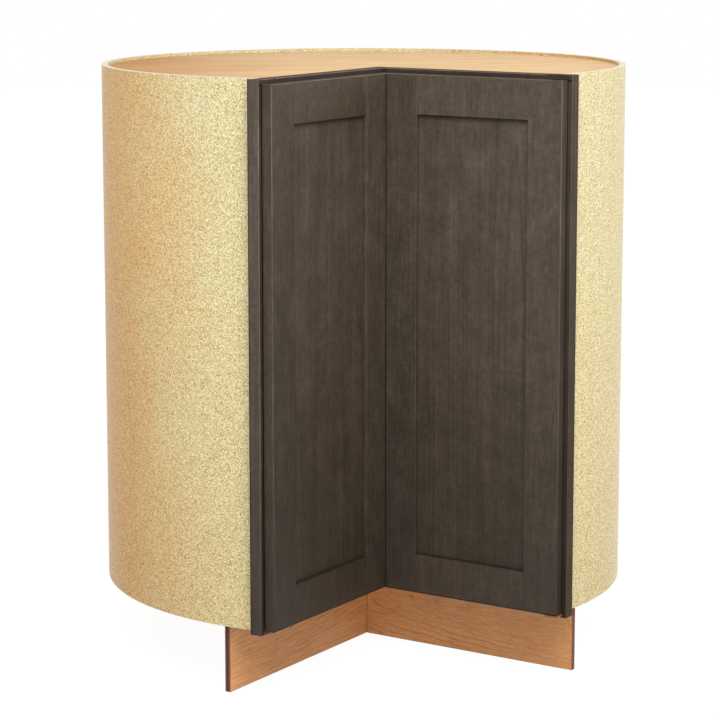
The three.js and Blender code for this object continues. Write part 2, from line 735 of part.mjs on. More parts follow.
assembly('left_door', rightDoor, turnedPoint(LEFT, foldDepth, foldAlong), [
  ...doorWoodwork(LEFT),
  ...foldHinges.map((hinge) => hinge.leftLeaf),
  strikePlate(),
  bumper(true),
  bumper(false),
]);

assembly('carousel', group, [0, 0], [
  ...carouselShaft(),
  ...shelf('lower', lowerShelfUnder),
  ...shelf('upper', upperShelfUnder),
]);

const footprintShift = (frameReach - BARREL_RADIUS) / 2;
group.position.set(-footprintShift, footprintShift, 0);

export default group;
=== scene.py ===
"""A corner carousel cabinet: raw round body, stained folding doors and pie-cut shelves.

Metres, +Z up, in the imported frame. The left door faces +X and the right door faces -Y.
"""
import json
import logging
import math
from contextlib import contextmanager
from dataclasses import dataclass, field
from enum import Enum, IntEnum
from typing import Any, Callable, Iterator

import bpy
from mathutils import Euler, Matrix, Vector


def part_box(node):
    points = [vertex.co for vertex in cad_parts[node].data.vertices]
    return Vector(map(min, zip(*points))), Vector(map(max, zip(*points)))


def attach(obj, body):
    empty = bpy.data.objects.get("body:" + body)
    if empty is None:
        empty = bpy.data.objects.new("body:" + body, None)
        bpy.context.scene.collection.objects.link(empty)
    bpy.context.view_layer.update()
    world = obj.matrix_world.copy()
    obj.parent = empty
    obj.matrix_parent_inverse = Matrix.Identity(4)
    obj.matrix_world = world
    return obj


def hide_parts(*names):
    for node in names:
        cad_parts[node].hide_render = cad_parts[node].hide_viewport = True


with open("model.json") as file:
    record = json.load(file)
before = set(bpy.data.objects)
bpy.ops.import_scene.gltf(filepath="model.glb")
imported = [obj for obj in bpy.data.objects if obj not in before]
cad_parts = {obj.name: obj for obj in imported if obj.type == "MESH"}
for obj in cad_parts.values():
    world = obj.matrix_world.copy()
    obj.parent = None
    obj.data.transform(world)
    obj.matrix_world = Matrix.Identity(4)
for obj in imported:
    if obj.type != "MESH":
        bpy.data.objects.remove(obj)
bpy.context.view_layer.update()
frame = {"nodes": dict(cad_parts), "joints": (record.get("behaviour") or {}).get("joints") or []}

LOG = logging.getLogger("corner_cabinet")
Colour = tuple[float, float, float, float]
Triple = tuple[float, float, float]
Span = tuple[float, float]
Piece = bpy.types.Object
Face = bpy.types.MeshPolygon
Material = bpy.types.Material
Tree = bpy.types.NodeTree
FaceTest = Callable[[Face], bool]
EdgeTest = Callable[[Vector, Vector], bool]

MM = 0.001
PAST = 10 * MM  # how far a cutter reaches past the piece it cuts
FLAT = 0.99  # a face whose normal has more than this along an axis is flat, and no part of an eased edge
LEVEL = 0.5  # a face whose normal has less than this along Z is a side, and not a top or a bottom
LEANING = 0.1  # a face whose normal has more than this toward one side belongs to that side
MID_NOISE = (0.3, 0.7)  # most values of a noise texture lie between these
WAVE_PERIOD = 0.314  # metres from ring to ring in a wave texture at scale 1
WHITE = (1.0, 1.0, 1.0, 1.0)
UP = (0.0, 0.0, 1.0)
DOWN = (0.0, 0.0, -1.0)
LEFT_FLANK = (-0.838, -0.545, 0.0)  # from the middle toward the body's left outline in the photograph
RIGHT_FLANK = (0.838, 0.545, 0.0)
FOOT_SHADE_ON_STAIN = (0.42, 0.38, 0.34, 1.0)  # how much darker the stained boards are at the foot: painted shade, standing in for light that falls off toward the floor


# --------------------------------------------------------------------------- small helpers


def paint(red: int, green: int, blue: int) -> Colour:
    """Turns a colour as it looks on a screen into the linear colour a shader takes.

    Args:
        red: Red from 0 to 255.
        green: Green from 0 to 255.
        blue: Blue from 0 to 255.

    Returns:
        The linear colour with full alpha.
    """
    def linear(level: int) -> float:
        """One channel, by the screen's transfer curve."""
        share = level / 255
        return share / 12.92 if share <= 0.04045 else ((share + 0.055) / 1.055) ** 2.4

    return (linear(red), linear(green), linear(blue), 1.0)


def joint_place(name: str) -> Vector:
    """Gives the point that a joint turns about.

    Args:
        name: The joint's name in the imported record.

    Returns:
        The point in metres.
    """
    found = next(joint for joint in frame["joints"] if joint["name"] == name)
    return Vector(found["pos_m"])


def box_of(node: str) -> tuple[Vector, Vector]:
    """Gives a node's lowest and highest corners as two fresh vectors."""
    low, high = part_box(node)
    return Vector(low), Vector(high)


# --------------------------------------------------------------------------- node wiring


class Canvas:
    """Places and wires nodes in one shader tree."""

    columns = 8
    column_width = 220
    row_height = 260

    def __init__(self, tree: Tree) -> None:
        """Keeps the tree to draw in.

        Args:
            tree: A material's, group's or world's node tree.
        """
        self.tree = tree
        self.count = 0

    def add(self, kind: str, inputs: dict[Any, Any] | None = None, **settings: Any) -> bpy.types.Node:
        """Places one node.

        Args:
            kind: The node's class name after ShaderNode.
            inputs: Values or sockets for its inputs, by name or index.
            **settings: Properties of the node itself.

        Returns:
            The new node.
        """
        node = self.tree.nodes.new("ShaderNode" + kind)
        row, column = divmod(self.count, self.columns)
        node.location = (column * self.column_width, -row * self.row_height)
        self.count += 1
        for name, value in settings.items():
            setattr(node, name, value)
        for key, value in (inputs or {}).items():
            self.feed(node.inputs[key], value)
        return node

    def feed(self, socket: bpy.types.NodeSocket, value: Any) -> None:
        """Sets an input to a value, or wires it to another node's output.

        Args:
            socket: The input.
            value: A plain value, or an output socket.
        """
        if isinstance(value, bpy.types.NodeSocket):
            self.tree.links.new(value, socket)
        else:
            socket.default_value = value

    def calc(self, operation: str, first: Any, second: Any = 0.0, clamp: bool = False) -> Any:
        """Places a Math node.

        Args:
            operation: The Math operation's name.
            first: The first value or socket.
            second: The second value or socket.
            clamp: Whether the result is kept between 0 and 1.

        Returns:
            The result's socket.
        """
        node = self.add("Math", {0: first, 1: second}, operation=operation, use_clamp=clamp)
        return node.outputs[0]

    def blend(self, factor: Any, first: Any, second: Any, mode: str = "MIX") -> Any:
        """Places a colour mix.

        Args:
            factor: How much of the second colour shows.
            first: The colour at factor 0.
            second: The colour at factor 1.
            mode: The blend type.

        Returns:
            The mixed colour's socket.
        """
        node = self.add("Mix", {0: factor, 6: first, 7: second}, data_type="RGBA", blend_type=mode)
        return node.outputs[2]

    def ramp(self, factor: Any, stops: list[tuple[float, Colour]]) -> Any:
        """Places a colour ramp.

        Args:
            factor: The value that picks the colour.
            stops: Positions and colours, in order.

        Returns:
            The colour's socket.
        """
        node = self.add("ValToRGB", {0: factor})
        elements = node.color_ramp.elements
        while len(elements) < len(stops):
            elements.new(0.5)
        for element, (position, colour) in zip(elements, stops):
            element.position = position
            element.color = colour
        return node.outputs[0]

    def stretch(self, value: Any, low: Any, high: Any, to: Span = (0, 1)) -> Any:
        """Places a clamped Map Range.

        Args:
            value: The value's socket.
            low: The value or socket that gives the first result.
            high: The value or socket that gives the second result.
            to: The two results.

        Returns:
            The mapped value's socket.
        """
        inputs = {0: value, 1: low, 2: high, 3: to[0], 4: to[1]}
        return self.add("MapRange", inputs, clamp=True).outputs[0]

    def noise(self, vector: Any, scale: Any, detail: float = 2.0, roughness: float = 0.5) -> Any:
        """Places a noise texture.

        Args:
            vector: The coordinates.
            scale: Its scale, a value or a socket.
            detail: The octaves.
            roughness: How strong the finer octaves are.

        Returns:
            The noise value's socket.
        """
        inputs = {"Vector": vector, "Scale": scale, "Detail": detail, "Roughness": roughness}
        return self.add("TexNoise", inputs).outputs[0]


class Effect(Enum):
    """The shared surface effects, each a shader node group."""

    WOOD_FIGURE = "wood figure"
    CHIP_SPECKLE = "chip speckle"
    SLOW_TONE = "slow tone"
    RECESS_SHADE = "recess shade"
    PLY_LAYERS = "ply layers"
    FINE_SCRATCH = "fine scratch"


class EffectShelf:
    """Builds each shared effect once and hands it to the materials."""

    def __init__(self) -> None:
        """Starts with no effect built."""
        self.built: dict[Effect, Tree] = {}

    def take(self, effect: Effect) -> Tree:
        """Gives an effect's group, built on first use.

        Args:
            effect: The effect wanted.

        Returns:
            Its node tree.
        """
        if effect not in self.built:
            makers = {
                Effect.WOOD_FIGURE: self._wood_figure,
                Effect.CHIP_SPECKLE: self._chip_speckle,
                Effect.SLOW_TONE: self._painted_gradient,
                Effect.RECESS_SHADE: self._recess_shade,
                Effect.PLY_LAYERS: self._ply_layers,
                Effect.FINE_SCRATCH: self._fine_scratch,
            }
            self.built[effect] = makers[effect]()
        return self.built[effect]

    @staticmethod
    def _open(effect: Effect, takes: dict[str, Any], gives: list[str]) -> tuple[Canvas, Any, Any]:
        """Starts a group with named sockets.

        Args:
            effect: The effect, which names the group.
            takes: Input names and their default values; None makes a vector input.
            gives: Names of the value outputs.

        Returns:
            The canvas, the group's input node and its output node.
        """
        tree = bpy.data.node_groups.new(effect.value, "ShaderNodeTree")
        for name, default in takes.items():
            kind = "NodeSocketVector" if default is None else "NodeSocketFloat"
            socket = tree.interface.new_socket(name=name, in_out="INPUT", socket_type=kind)
            if default is not None:
                socket.default_value = default
        for name in gives:
            tree.interface.new_socket(name=name, in_out="OUTPUT", socket_type="NodeSocketFloat")
        source = tree.nodes.new("NodeGroupInput")
        target = tree.nodes.new("NodeGroupOutput")
        return Canvas(tree), source, target

    def _wood_figure(self) -> Tree:
        """Streaks, fibres, mottle, clouds and arched growth rings, with the grain along Z.

        Returns:
            The group's tree.
        """
        takes = {"Vector": None, "Stretch": 20.0, "Streak Width": 0.006, "Fibre Width": 0.0011,
                 "Mottle Size": 0.006, "Cloud Size": 0.06, "Ring Width": 0.007, "Ring Stretch": 12.0,
                 "Ring Start": 0.6, "Ring Wander": 3.5, "Streak Amount": 0.5, "Fibre Amount": 0.5,
                 "Mottle Amount": 0.3, "Cloud Amount": 0.4}
        fade_scale, fade_start, fade_end = 45.0, 0.4, 0.62
        art, source, target = self._open(Effect.WOOD_FIGURE, takes, ["Tone", "Fibre", "Rings"])
        take = source.outputs
        along = self._drawn_out(art, take["Vector"], take["Stretch"])
        rows = (("Streak", "Width", along, 3.0, 0.6), ("Fibre", "Width", along, 3.0, 0.6),
                ("Mottle", "Size", take["Vector"], 4.0, 0.7), ("Cloud", "Size", take["Vector"], 2.0, 0.5))
        layers = {}
        for name, kind, vector, detail, rough in rows:
            scale = art.calc("DIVIDE", 1.0, take[f"{name} {kind}"])
            layers[f"{name} Amount"] = art.noise(vector, scale, detail, rough)
        tone = 0.5
        for amount, layer in layers.items():
            swing = art.calc("MULTIPLY", art.calc("SUBTRACT", layer, 0.5), take[amount])
            tone = art.calc("ADD", tone, art.calc("MULTIPLY", swing, 2.0))
        heart = self._drawn_out(art, take["Vector"], take["Ring Stretch"])
        waves = art.add(
            "TexWave",
            {"Vector": heart, "Scale": art.calc("DIVIDE", WAVE_PERIOD, take["Ring Width"]),
             "Distortion": take["Ring Wander"], "Detail": 3.0, "Detail Scale": 1.0, "Detail Roughness": 0.55},
            wave_type="RINGS", rings_direction="SPHERICAL", wave_profile="SAW",
        ).outputs["Fac"]
        fade = art.stretch(art.noise(along, fade_scale, 2.0, 0.5), fade_start, fade_end)
        art.feed(target.inputs["Tone"], art.calc("ADD", tone, 0.0, True))
        art.feed(target.inputs["Fibre"], layers["Fibre Amount"])
        ridges = art.stretch(waves, take["Ring Start"], 1.0)
        art.feed(target.inputs["Rings"], art.calc("MULTIPLY", ridges, fade))
        return art.tree

    @staticmethod
    def _drawn_out(art: Canvas, vector: Any, stretch: Any) -> Any:
        """Stretches a pattern along Z by squeezing its coordinates."""
        scale = art.add("CombineXYZ", {0: 1.0, 1: 1.0, 2: art.calc("DIVIDE", 1.0, stretch)})
        return art.add("VectorMath", {0: vector, 1: scale.outputs[0]}, operation="MULTIPLY").outputs[0]

    def _chip_speckle(self) -> Tree:
        """Pressed wood chips: fine flecks of several tones with dark ones among them.

        Returns:
            The group's tree.
        """
        takes = {"Vector": None, "Chip Size": 0.0016, "Fleck Share": 0.14}
        fleck_pace, fine_pace, chip_weight, fine_weight = 0.95, 1.3, 0.6, 0.4
        art, source, target = self._open(Effect.CHIP_SPECKLE, takes, ["Chips", "Flecks", "Hue", "Fine"])
        take = source.outputs
        scale = art.calc("DIVIDE", 1.0, take["Chip Size"])
        chips = art.add("TexVoronoi", {"Vector": take["Vector"], "Scale": scale, "Randomness": 1.0})
        fleck_scale = art.calc("MULTIPLY", scale, fleck_pace)
        flecks = art.add("TexVoronoi", {"Vector": take["Vector"], "Scale": fleck_scale})
        chip = art.add("SeparateColor", {0: chips.outputs["Color"]}).outputs[0]
        fleck = art.add("SeparateColor", {0: flecks.outputs["Color"]}).outputs
        fine = art.noise(take["Vector"], art.calc("MULTIPLY", scale, fine_pace), 2.0, 0.7)
        coarse_part = art.calc("MULTIPLY", chip, chip_weight)
        fine_part = art.calc("MULTIPLY", art.stretch(fine, *MID_NOISE), fine_weight)
        art.feed(target.inputs["Chips"], art.calc("ADD", coarse_part, fine_part))
        art.feed(target.inputs["Flecks"], art.calc("LESS_THAN", fleck[1], take["Fleck Share"]))
        art.feed(target.inputs["Hue"], fleck[2])
        art.feed(target.inputs["Fine"], fine)
        return art.tree

    def _painted_gradient(self) -> Tree:
        """A slow change across the cabinet in one direction, with a wandering boundary: the mask of the
        painted shade toward the foot and toward one side.

        Returns:
            The group's tree.
        """
        takes = {"Vector": None, "Direction": None, "Low": 0.1, "High": 0.87, "Wander": 0.14}
        wander_scale = 6.0
        art, source, target = self._open(Effect.SLOW_TONE, takes, ["Share"])
        take = source.outputs
        reach = art.add("VectorMath", {0: take["Vector"], 1: take["Direction"]}, operation="DOT_PRODUCT")
        drift = art.calc("SUBTRACT", art.noise(take["Vector"], wander_scale), 0.5)
        wander = art.calc("MULTIPLY", drift, take["Wander"])
        inputs = {0: art.calc("ADD", reach.outputs["Value"], wander), 1: take["Low"], 2: take["High"]}
        art.feed(target.inputs["Share"], art.add("MapRange", inputs, clamp=True).outputs[0])
        return art.tree

    def _recess_shade(self) -> Tree:
        """Painted shadow in the corners of a recess, most of it under the top rail.

        Returns:
            The group's tree.
        """
        takes = {"Vector": None, "Middle": None, "Half Size": None, "Top Reach": 0.009,
                 "Side Reach": 0.003, "Top Amount": 0.95, "Side Amount": 0.4}
        falloff = 1.3
        art, source, target = self._open(Effect.RECESS_SHADE, takes, ["Share"])
        take = source.outputs
        away = art.add("VectorMath", {0: take["Vector"], 1: take["Middle"]}, operation="SUBTRACT").outputs[0]
        spread = art.add("VectorMath", {0: away}, operation="ABSOLUTE").outputs[0]
        past = art.add("VectorMath", {0: spread, 1: take["Half Size"]}, operation="SUBTRACT").outputs[0]
        edge = art.add("SeparateXYZ", {0: past}).outputs
        wall = art.calc("MAXIMUM", art.calc("MAXIMUM", edge[0], edge[1]), edge[2])
        rise = art.add("SeparateXYZ", {0: away}).outputs[2]
        crown = art.calc("SUBTRACT", rise, art.add("SeparateXYZ", {0: take["Half Size"]}).outputs[2])
        shares = []
        for distance, name in ((wall, "Side"), (crown, "Top")):
            near = art.calc("ADD", art.calc("DIVIDE", distance, take[f"{name} Reach"]), 1.0, True)
            shares.append(art.calc("MULTIPLY", art.calc("POWER", near, falloff), take[f"{name} Amount"]))
        art.feed(target.inputs["Share"], art.calc("MAXIMUM", *shares))
        return art.tree

    def _ply_layers(self) -> Tree:
        """Plywood's layers across a board's thickness, with torn fibres along them.

        Returns:
            The group's tree.
        """
        takes = {"Vector": None, "Start": 0.0, "Thickness": 0.009, "Layers": 3.0}
        torn_scale, raggedness, half_layer = 700.0, 0.25, 0.38
        art, source, target = self._open(Effect.PLY_LAYERS, takes, ["Layer", "Glue", "Torn"])
        across = art.add("SeparateXYZ", {0: source.outputs["Vector"]}).outputs[0]
        inset = art.calc("SUBTRACT", across, source.outputs["Start"])
        share = art.calc("DIVIDE", inset, source.outputs["Thickness"])
        wave = art.calc("MULTIPLY", share, source.outputs["Layers"])
        torn = art.noise(source.outputs["Vector"], torn_scale, 3.0, 0.7)
        ragged = art.calc("ADD", wave, art.calc("MULTIPLY", art.calc("SUBTRACT", torn, 0.5), raggedness))
        place = art.calc("FRACT", ragged)
        wood = art.calc("LESS_THAN", art.calc("ABSOLUTE", art.calc("SUBTRACT", place, 0.5)), half_layer)
        odd = art.calc("MODULO", art.calc("FLOOR", ragged), 2.0)
        art.feed(target.inputs["Layer"], odd)
        art.feed(target.inputs["Glue"], art.calc("SUBTRACT", 1.0, wood))
        art.feed(target.inputs["Torn"], torn)
        return art.tree

    def _fine_scratch(self) -> Tree:
        """Hair-fine marks and a slow cloud, for metal and moulded plastic.

        Returns:
            The group's tree.
        """
        takes = {"Vector": None, "Mark Size": 0.0008, "Stretch": 1.0}
        cloud_scale = 40.0
        art, source, target = self._open(Effect.FINE_SCRATCH, takes, ["Marks", "Cloud"])
        drawn = self._drawn_out(art, source.outputs["Vector"], source.outputs["Stretch"])
        marks = art.noise(drawn, art.calc("DIVIDE", 1.0, source.outputs["Mark Size"]), 2.0, 0.6)
        art.feed(target.inputs["Marks"], marks)
        art.feed(target.inputs["Cloud"], art.noise(source.outputs["Vector"], cloud_scale, 3.0, 0.5))
        return art.tree


EFFECTS = EffectShelf()


# --------------------------------------------------------------------------- finishes


class Grain(Enum):
    """Which way a board's grain runs."""

    UPRIGHT = UP
    ALONG_X = (1.0, 0.0, 0.0)
    ALONG_Y = (0.0, 1.0, 0.0)
    DIAGONAL = (1.0, 1.0, 0.0)

    def turn(self, tilt: Triple) -> Triple:
        """Gives the turn that brings the grain to Z.

        Args:
            tilt: A small further turn, as Euler angles, that leans the growth rings.

        Returns:
            Euler angles for a Mapping node.
        """
        upright = Vector(self.value).rotation_difference(Vector(UP)).to_matrix()
        return tuple((Euler(tilt).to_matrix() @ upright).to_euler())


@dataclass(frozen=True)
class Finish:
    """What every finish shares: a name and the start of its shader."""

    name: str

    def begin(self) -> tuple[Material, Canvas, bpy.types.Node, Any]:
        """Makes the material and its shader.

        Returns:
            The material, its canvas, the Principled shader and the Object coordinates.
        """
        material = bpy.data.materials.new(self.name)
        material.use_nodes = True
        art = Canvas(material.node_tree)
        shader = material.node_tree.nodes["Principled BSDF"]
        coordinates = art.add("TexCoord").outputs["Object"]
        return material, art, shader, coordinates

    @staticmethod
    def use(art: Canvas, effect: Effect, vector: Any, **values: Any) -> bpy.types.Node:
        """Places a shared effect in a material.

        Args:
            art: The material's canvas.
            effect: The effect.
            vector: The coordinates it reads.
            **values: Its other inputs, with underscores for spaces.

        Returns:
            The group node.
        """
        node = art.add("Group", node_tree=EFFECTS.take(effect))
        art.feed(node.inputs["Vector"], vector)
        for key, value in values.items():
            node.inputs[key.replace("_", " ")].default_value = value
        return node

    @classmethod
    def paint_slow_shade(cls, art: Canvas, place: Any, colour: Any, tint: Colour, toward: Triple, reach: Span) -> Any:
        """Tints a colour slowly across the cabinet as painted shade, darker toward the foot or darker and
        warmer toward one side.

        Args:
            art: The material's canvas.
            place: The Object coordinates.
            colour: The colour's socket.
            tint: The multiplier where the change is complete.
            toward: The direction in which it grows.
            reach: The distances along it where it starts and is complete.

        Returns:
            The tinted colour's socket.
        """
        tone = cls.use(art, Effect.SLOW_TONE, place, Direction=toward, Low=reach[0], High=reach[1])
        shade = art.blend(tone.outputs["Share"], WHITE, tint)
        return art.blend(1.0, colour, shade, "MULTIPLY")

    @staticmethod
    def relief(art: Canvas, shader: bpy.types.Node, height: Any, strength: float, depth: float) -> None:
        """Gives a surface fine relief.

        Args:
            art: The material's canvas.
            shader: The Principled shader.
            height: The height's socket.
            strength: The bump's strength.
            depth: Its depth in metres.
        """
        bump = art.add("Bump", {"Height": height, "Strength": strength, "Distance": depth})
        art.feed(shader.inputs["Normal"], bump.outputs[0])

    def build(self) -> Material:
        """Makes the material; each finish does it in its own way."""
        raise NotImplementedError


@dataclass(frozen=True)
class Wood(Finish):
    """A board or veneer with a grain direction and a figure."""

    dark: Colour = paint(66, 57, 48)
    middle: Colour = paint(84, 74, 64)
    pale: Colour = paint(100, 90, 79)
    line: Colour = paint(58, 50, 42)
    grain: Grain = Grain.UPRIGHT
    heart: Triple = (0.0, 0.0, 0.0)
    tilt: Triple = (0.0, 0.0, 0.0)
    stretch: float = 22.0
    streak_width: float = 0.006
    fibre_width: float = 0.0012
    mottle_size: float = 0.007
    cloud_size: float = 0.06
    ring_width: float = 0.007
    ring_stretch: float = 12.0
    ring_start: float = 0.6
    streak: float = 0.45
    fibre: float = 0.45
    mottle: float = 0.35
    cloud: float = 0.4
    rings: float = 0.3
    tone: float = 1.0
    tint: Triple = (1.0, 1.0, 1.0)
    # painted shade: multiplies the colour toward the foot, where less light falls
    foot_painted_shade: Colour = WHITE
    foot_reach: Span = (-0.7, -0.1)
    # painted shade: darkens and warms the colour toward one side, standing in for weaker, warmer light there
    side_painted_shade: Colour = WHITE
    side_toward: Triple = LEFT_FLANK
    side_reach: Span = (0.1, 0.36)
    ring_wander: float = 3.5
    roughness: Span = (0.5, 0.64)
    gloss: float = 0.5
    relief_strength: float = 0.12
    relief_depth: float = 0.3 * MM

    def finished(self, art: Canvas, place: Any, colour: Any) -> Any:
        """Leaves the colour as it is; a finish with more to it changes it here."""
        return colour

    def shaded(self, colour: Colour) -> Colour:
        """Gives a colour as this board takes it, by its own tone and tint."""
        red, green, blue = (level * self.tone * share for level, share in zip(colour, self.tint))
        return (red, green, blue, 1.0)

    def build(self) -> Material:
        """Makes the wood material.

        Returns:
            The material.
        """
        material, art, shader, place = self.begin()
        centred = art.add("Mapping", {"Vector": place, "Location": [-reach for reach in self.heart]})
        turned = art.add("Mapping", {"Vector": centred.outputs[0], "Rotation": self.grain.turn(self.tilt)})
        figure = self.use(
            art, Effect.WOOD_FIGURE, turned.outputs[0], Stretch=self.stretch, Streak_Width=self.streak_width,
            Fibre_Width=self.fibre_width, Mottle_Size=self.mottle_size, Cloud_Size=self.cloud_size,
            Ring_Width=self.ring_width, Ring_Stretch=self.ring_stretch, Ring_Start=self.ring_start,
            Streak_Amount=self.streak, Fibre_Amount=self.fibre, Mottle_Amount=self.mottle,
            Cloud_Amount=self.cloud, Ring_Wander=self.ring_wander,
        )
        tones = ((0.0, self.dark), (0.5, self.middle), (1.0, self.pale))
        colour = art.ramp(figure.outputs["Tone"], [(stop, self.shaded(shade)) for stop, shade in tones])
        ring_share = art.calc("MULTIPLY", figure.outputs["Rings"], self.rings)
        lined = art.blend(ring_share, colour, self.shaded(self.line))
        # painted shade, darker toward the foot
        with_foot_shade = self.paint_slow_shade(art, place, lined, self.foot_painted_shade, DOWN, self.foot_reach)
        # painted shade, darker and warmer toward one side
        with_side_shade = self.paint_slow_shade(art, place, with_foot_shade, self.side_painted_shade, self.side_toward, self.side_reach)
        art.feed(shader.inputs["Base Color"], self.finished(art, place, with_side_shade))
        rough = art.stretch(figure.outputs["Fibre"], *MID_NOISE, self.roughness)
        art.feed(shader.inputs["Roughness"], rough)
        shader.inputs["Specular IOR Level"].default_value = self.gloss
        self.relief(art, shader, figure.outputs["Fibre"], self.relief_strength, self.relief_depth)
        return material


@dataclass(frozen=True)
class PanelWood(Wood):
    """A door panel's wood, with painted shadow along the edges of its recess."""

    middle_point: Triple = (0.0, 0.0, 0.0)
    half_size: Triple = (1.0, 1.0, 1.0)
    # painted shadow colour at the edges of the recess
    recess_shadow: Colour = paint(18, 14, 11)
    side_shade: float = 0.4

    def finished(self, art: Canvas, place: Any, colour: Any) -> Any:
        """Darkens the edges of the recess with painted shadow.

        Args:
            art: The material's canvas.
            place: The Object coordinates.
            colour: The wood's colour.

        Returns:
            The colour's socket.
        """
        shade = self.use(art, Effect.RECESS_SHADE, place, Middle=self.middle_point,
                         Half_Size=self.half_size, Side_Amount=self.side_shade)
        return art.blend(shade.outputs["Share"], colour, self.recess_shadow)


@dataclass(frozen=True)
class Chipboard(Finish):
    """Raw particleboard: fine chips of several tans and dark flecks, with painted shade that makes one side
    darker and warmer.
    """

    dark: Colour = paint(138, 115, 48)
    middle: Colour = paint(219, 207, 151)
    pale: Colour = paint(255, 255, 235)
    fleck: Colour = paint(116, 98, 46)
    rust_fleck: Colour = paint(164, 108, 46)
    tone_stops: Triple = (0.1, 0.5, 0.95)
    # painted shade: darker and warmer toward the body's left outline
    side_painted_shade: Colour = (0.985, 0.725, 0.55, 1.0)
    side_toward: Triple = LEFT_FLANK
    side_reach: Span = (0.212, 0.34)
    # painted shade: a little darker and warmer toward the foot
    foot_painted_shade: Colour = (1.0, 0.93, 0.88, 1.0)
    foot_reach: Span = (-0.87, -0.1)
    chip: float = 0.8 * MM
    roughness: Span = (0.55, 0.75)
    gloss: float = 0.22
    sheen: float = 0.26
    sheen_roughness: float = 0.25
    sheen_tint: Colour = (1.0, 0.92, 0.9, 1.0)
    relief_strength: float = 0.2
    relief_depth: float = 0.2 * MM

    def build(self) -> Material:
        """Makes the particleboard material.

        Returns:
            The material.
        """
        material, art, shader, place = self.begin()
        speckle = self.use(art, Effect.CHIP_SPECKLE, place, Chip_Size=self.chip)
        tans = list(zip(self.tone_stops, (self.dark, self.middle, self.pale)))
        flecks = art.blend(speckle.outputs["Hue"], self.fleck, self.rust_fleck)
        flecked = art.blend(speckle.outputs["Flecks"], art.ramp(speckle.outputs["Chips"], tans), flecks)
        # painted shade, darker and warmer toward one side
        with_side_shade = self.paint_slow_shade(art, place, flecked, self.side_painted_shade, self.side_toward, self.side_reach)
        # painted shade, darker toward the foot
        with_foot_shade = self.paint_slow_shade(art, place, with_side_shade, self.foot_painted_shade, DOWN, self.foot_reach)
        art.feed(shader.inputs["Base Color"], with_foot_shade)
        art.feed(shader.inputs["Roughness"], art.stretch(speckle.outputs["Fine"], *MID_NOISE, self.roughness))
        shader.inputs["Specular IOR Level"].default_value = self.gloss
        shader.inputs["Sheen Weight"].default_value = self.sheen
        shader.inputs["Sheen Roughness"].default_value = self.sheen_roughness
        shader.inputs["Sheen Tint"].default_value = self.sheen_tint
        self.relief(art, shader, speckle.outputs["Chips"], self.relief_strength, self.relief_depth)
        return material


@dataclass(frozen=True)
class PlyEdge(Finish):
    """The cut edge of plywood, with its layers across the thickness."""

    layer_a: Colour = paint(112, 68, 50)
    layer_b: Colour = paint(48, 26, 17)
    glue: Colour = paint(28, 15, 10)
    torn: Colour = paint(96, 58, 38)
    torn_span: Span = (0.45, 0.8)
    turn: Triple = (0.0, 0.0, 0.0)
    start: float = 0.0
    thickness: float = 9 * MM
    layers: float = 3.0
    roughness: Span = (0.7, 0.9)
    relief_strength: float = 0.3
    relief_depth: float = 0.3 * MM

    def build(self) -> Material:
        """Makes the ply edge material.

        Returns:
            The material.
        """
        material, art, shader, place = self.begin()
        turned = art.add("Mapping", {"Vector": place, "Rotation": self.turn})
        ply = self.use(art, Effect.PLY_LAYERS, turned.outputs[0], Start=self.start,
                       Thickness=self.thickness, Layers=self.layers)
        wood = art.blend(ply.outputs["Layer"], self.layer_a, self.layer_b)
        torn = art.blend(art.stretch(ply.outputs["Torn"], *self.torn_span), wood, self.torn)
        art.feed(shader.inputs["Base Color"], art.blend(ply.outputs["Glue"], torn, self.glue))
        art.feed(shader.inputs["Roughness"], art.stretch(ply.outputs["Torn"], *MID_NOISE, self.roughness))
        self.relief(art, shader, ply.outputs["Torn"], self.relief_strength, self.relief_depth)
        return material


@dataclass(frozen=True)
class Metal(Finish):
    """Plated or painted metal with fine marks."""

    base: Colour = paint(190, 190, 188)
    worn: Colour = paint(160, 158, 154)
    worn_span: Span = (0.35, 0.65)
    metallic: float = 1.0
    roughness: Span = (0.28, 0.42)
    gloss: float = 0.5
    mark_size: float = 0.0006
    mark_stretch: float = 6.0
    relief_strength: float = 0.08
    relief_depth: float = 0.05 * MM

    def build(self) -> Material:
        """Makes the metal material.

        Returns:
            The material.
        """
        material, art, shader, place = self.begin()
        marks = self.use(art, Effect.FINE_SCRATCH, place, Mark_Size=self.mark_size, Stretch=self.mark_stretch)
        cloud = art.stretch(marks.outputs["Cloud"], *self.worn_span)
        art.feed(shader.inputs["Base Color"], art.blend(cloud, self.base, self.worn))
        shader.inputs["Metallic"].default_value = self.metallic
        shader.inputs["Specular IOR Level"].default_value = self.gloss
        art.feed(shader.inputs["Roughness"], art.stretch(marks.outputs["Marks"], *MID_NOISE, self.roughness))
        self.relief(art, shader, marks.outputs["Marks"], self.relief_strength, self.relief_depth)
        return material


@dataclass(frozen=True)
class Moulded(Finish):
    """Moulded plastic or pressed felt: one colour with a grain."""

    base: Colour = paint(236, 231, 220)
    shade: Colour = paint(222, 216, 204)
    roughness: Span = (0.4, 0.5)
    grain_size: float = 0.0006
    relief_strength: float = 0.1
    relief_depth: float = 0.08 * MM

    def build(self) -> Material:
        """Makes the moulded material.

        Returns:
            The material.
        """
        material, art, shader, place = self.begin()
        marks = self.use(art, Effect.FINE_SCRATCH, place, Mark_Size=self.grain_size)
        art.feed(shader.inputs["Base Color"], art.blend(marks.outputs["Cloud"], self.base, self.shade))
        art.feed(shader.inputs["Roughness"], art.stretch(marks.outputs["Marks"], *MID_NOISE, self.roughness))
        self.relief(art, shader, marks.outputs["Marks"], self.relief_strength, self.relief_depth)
        return material


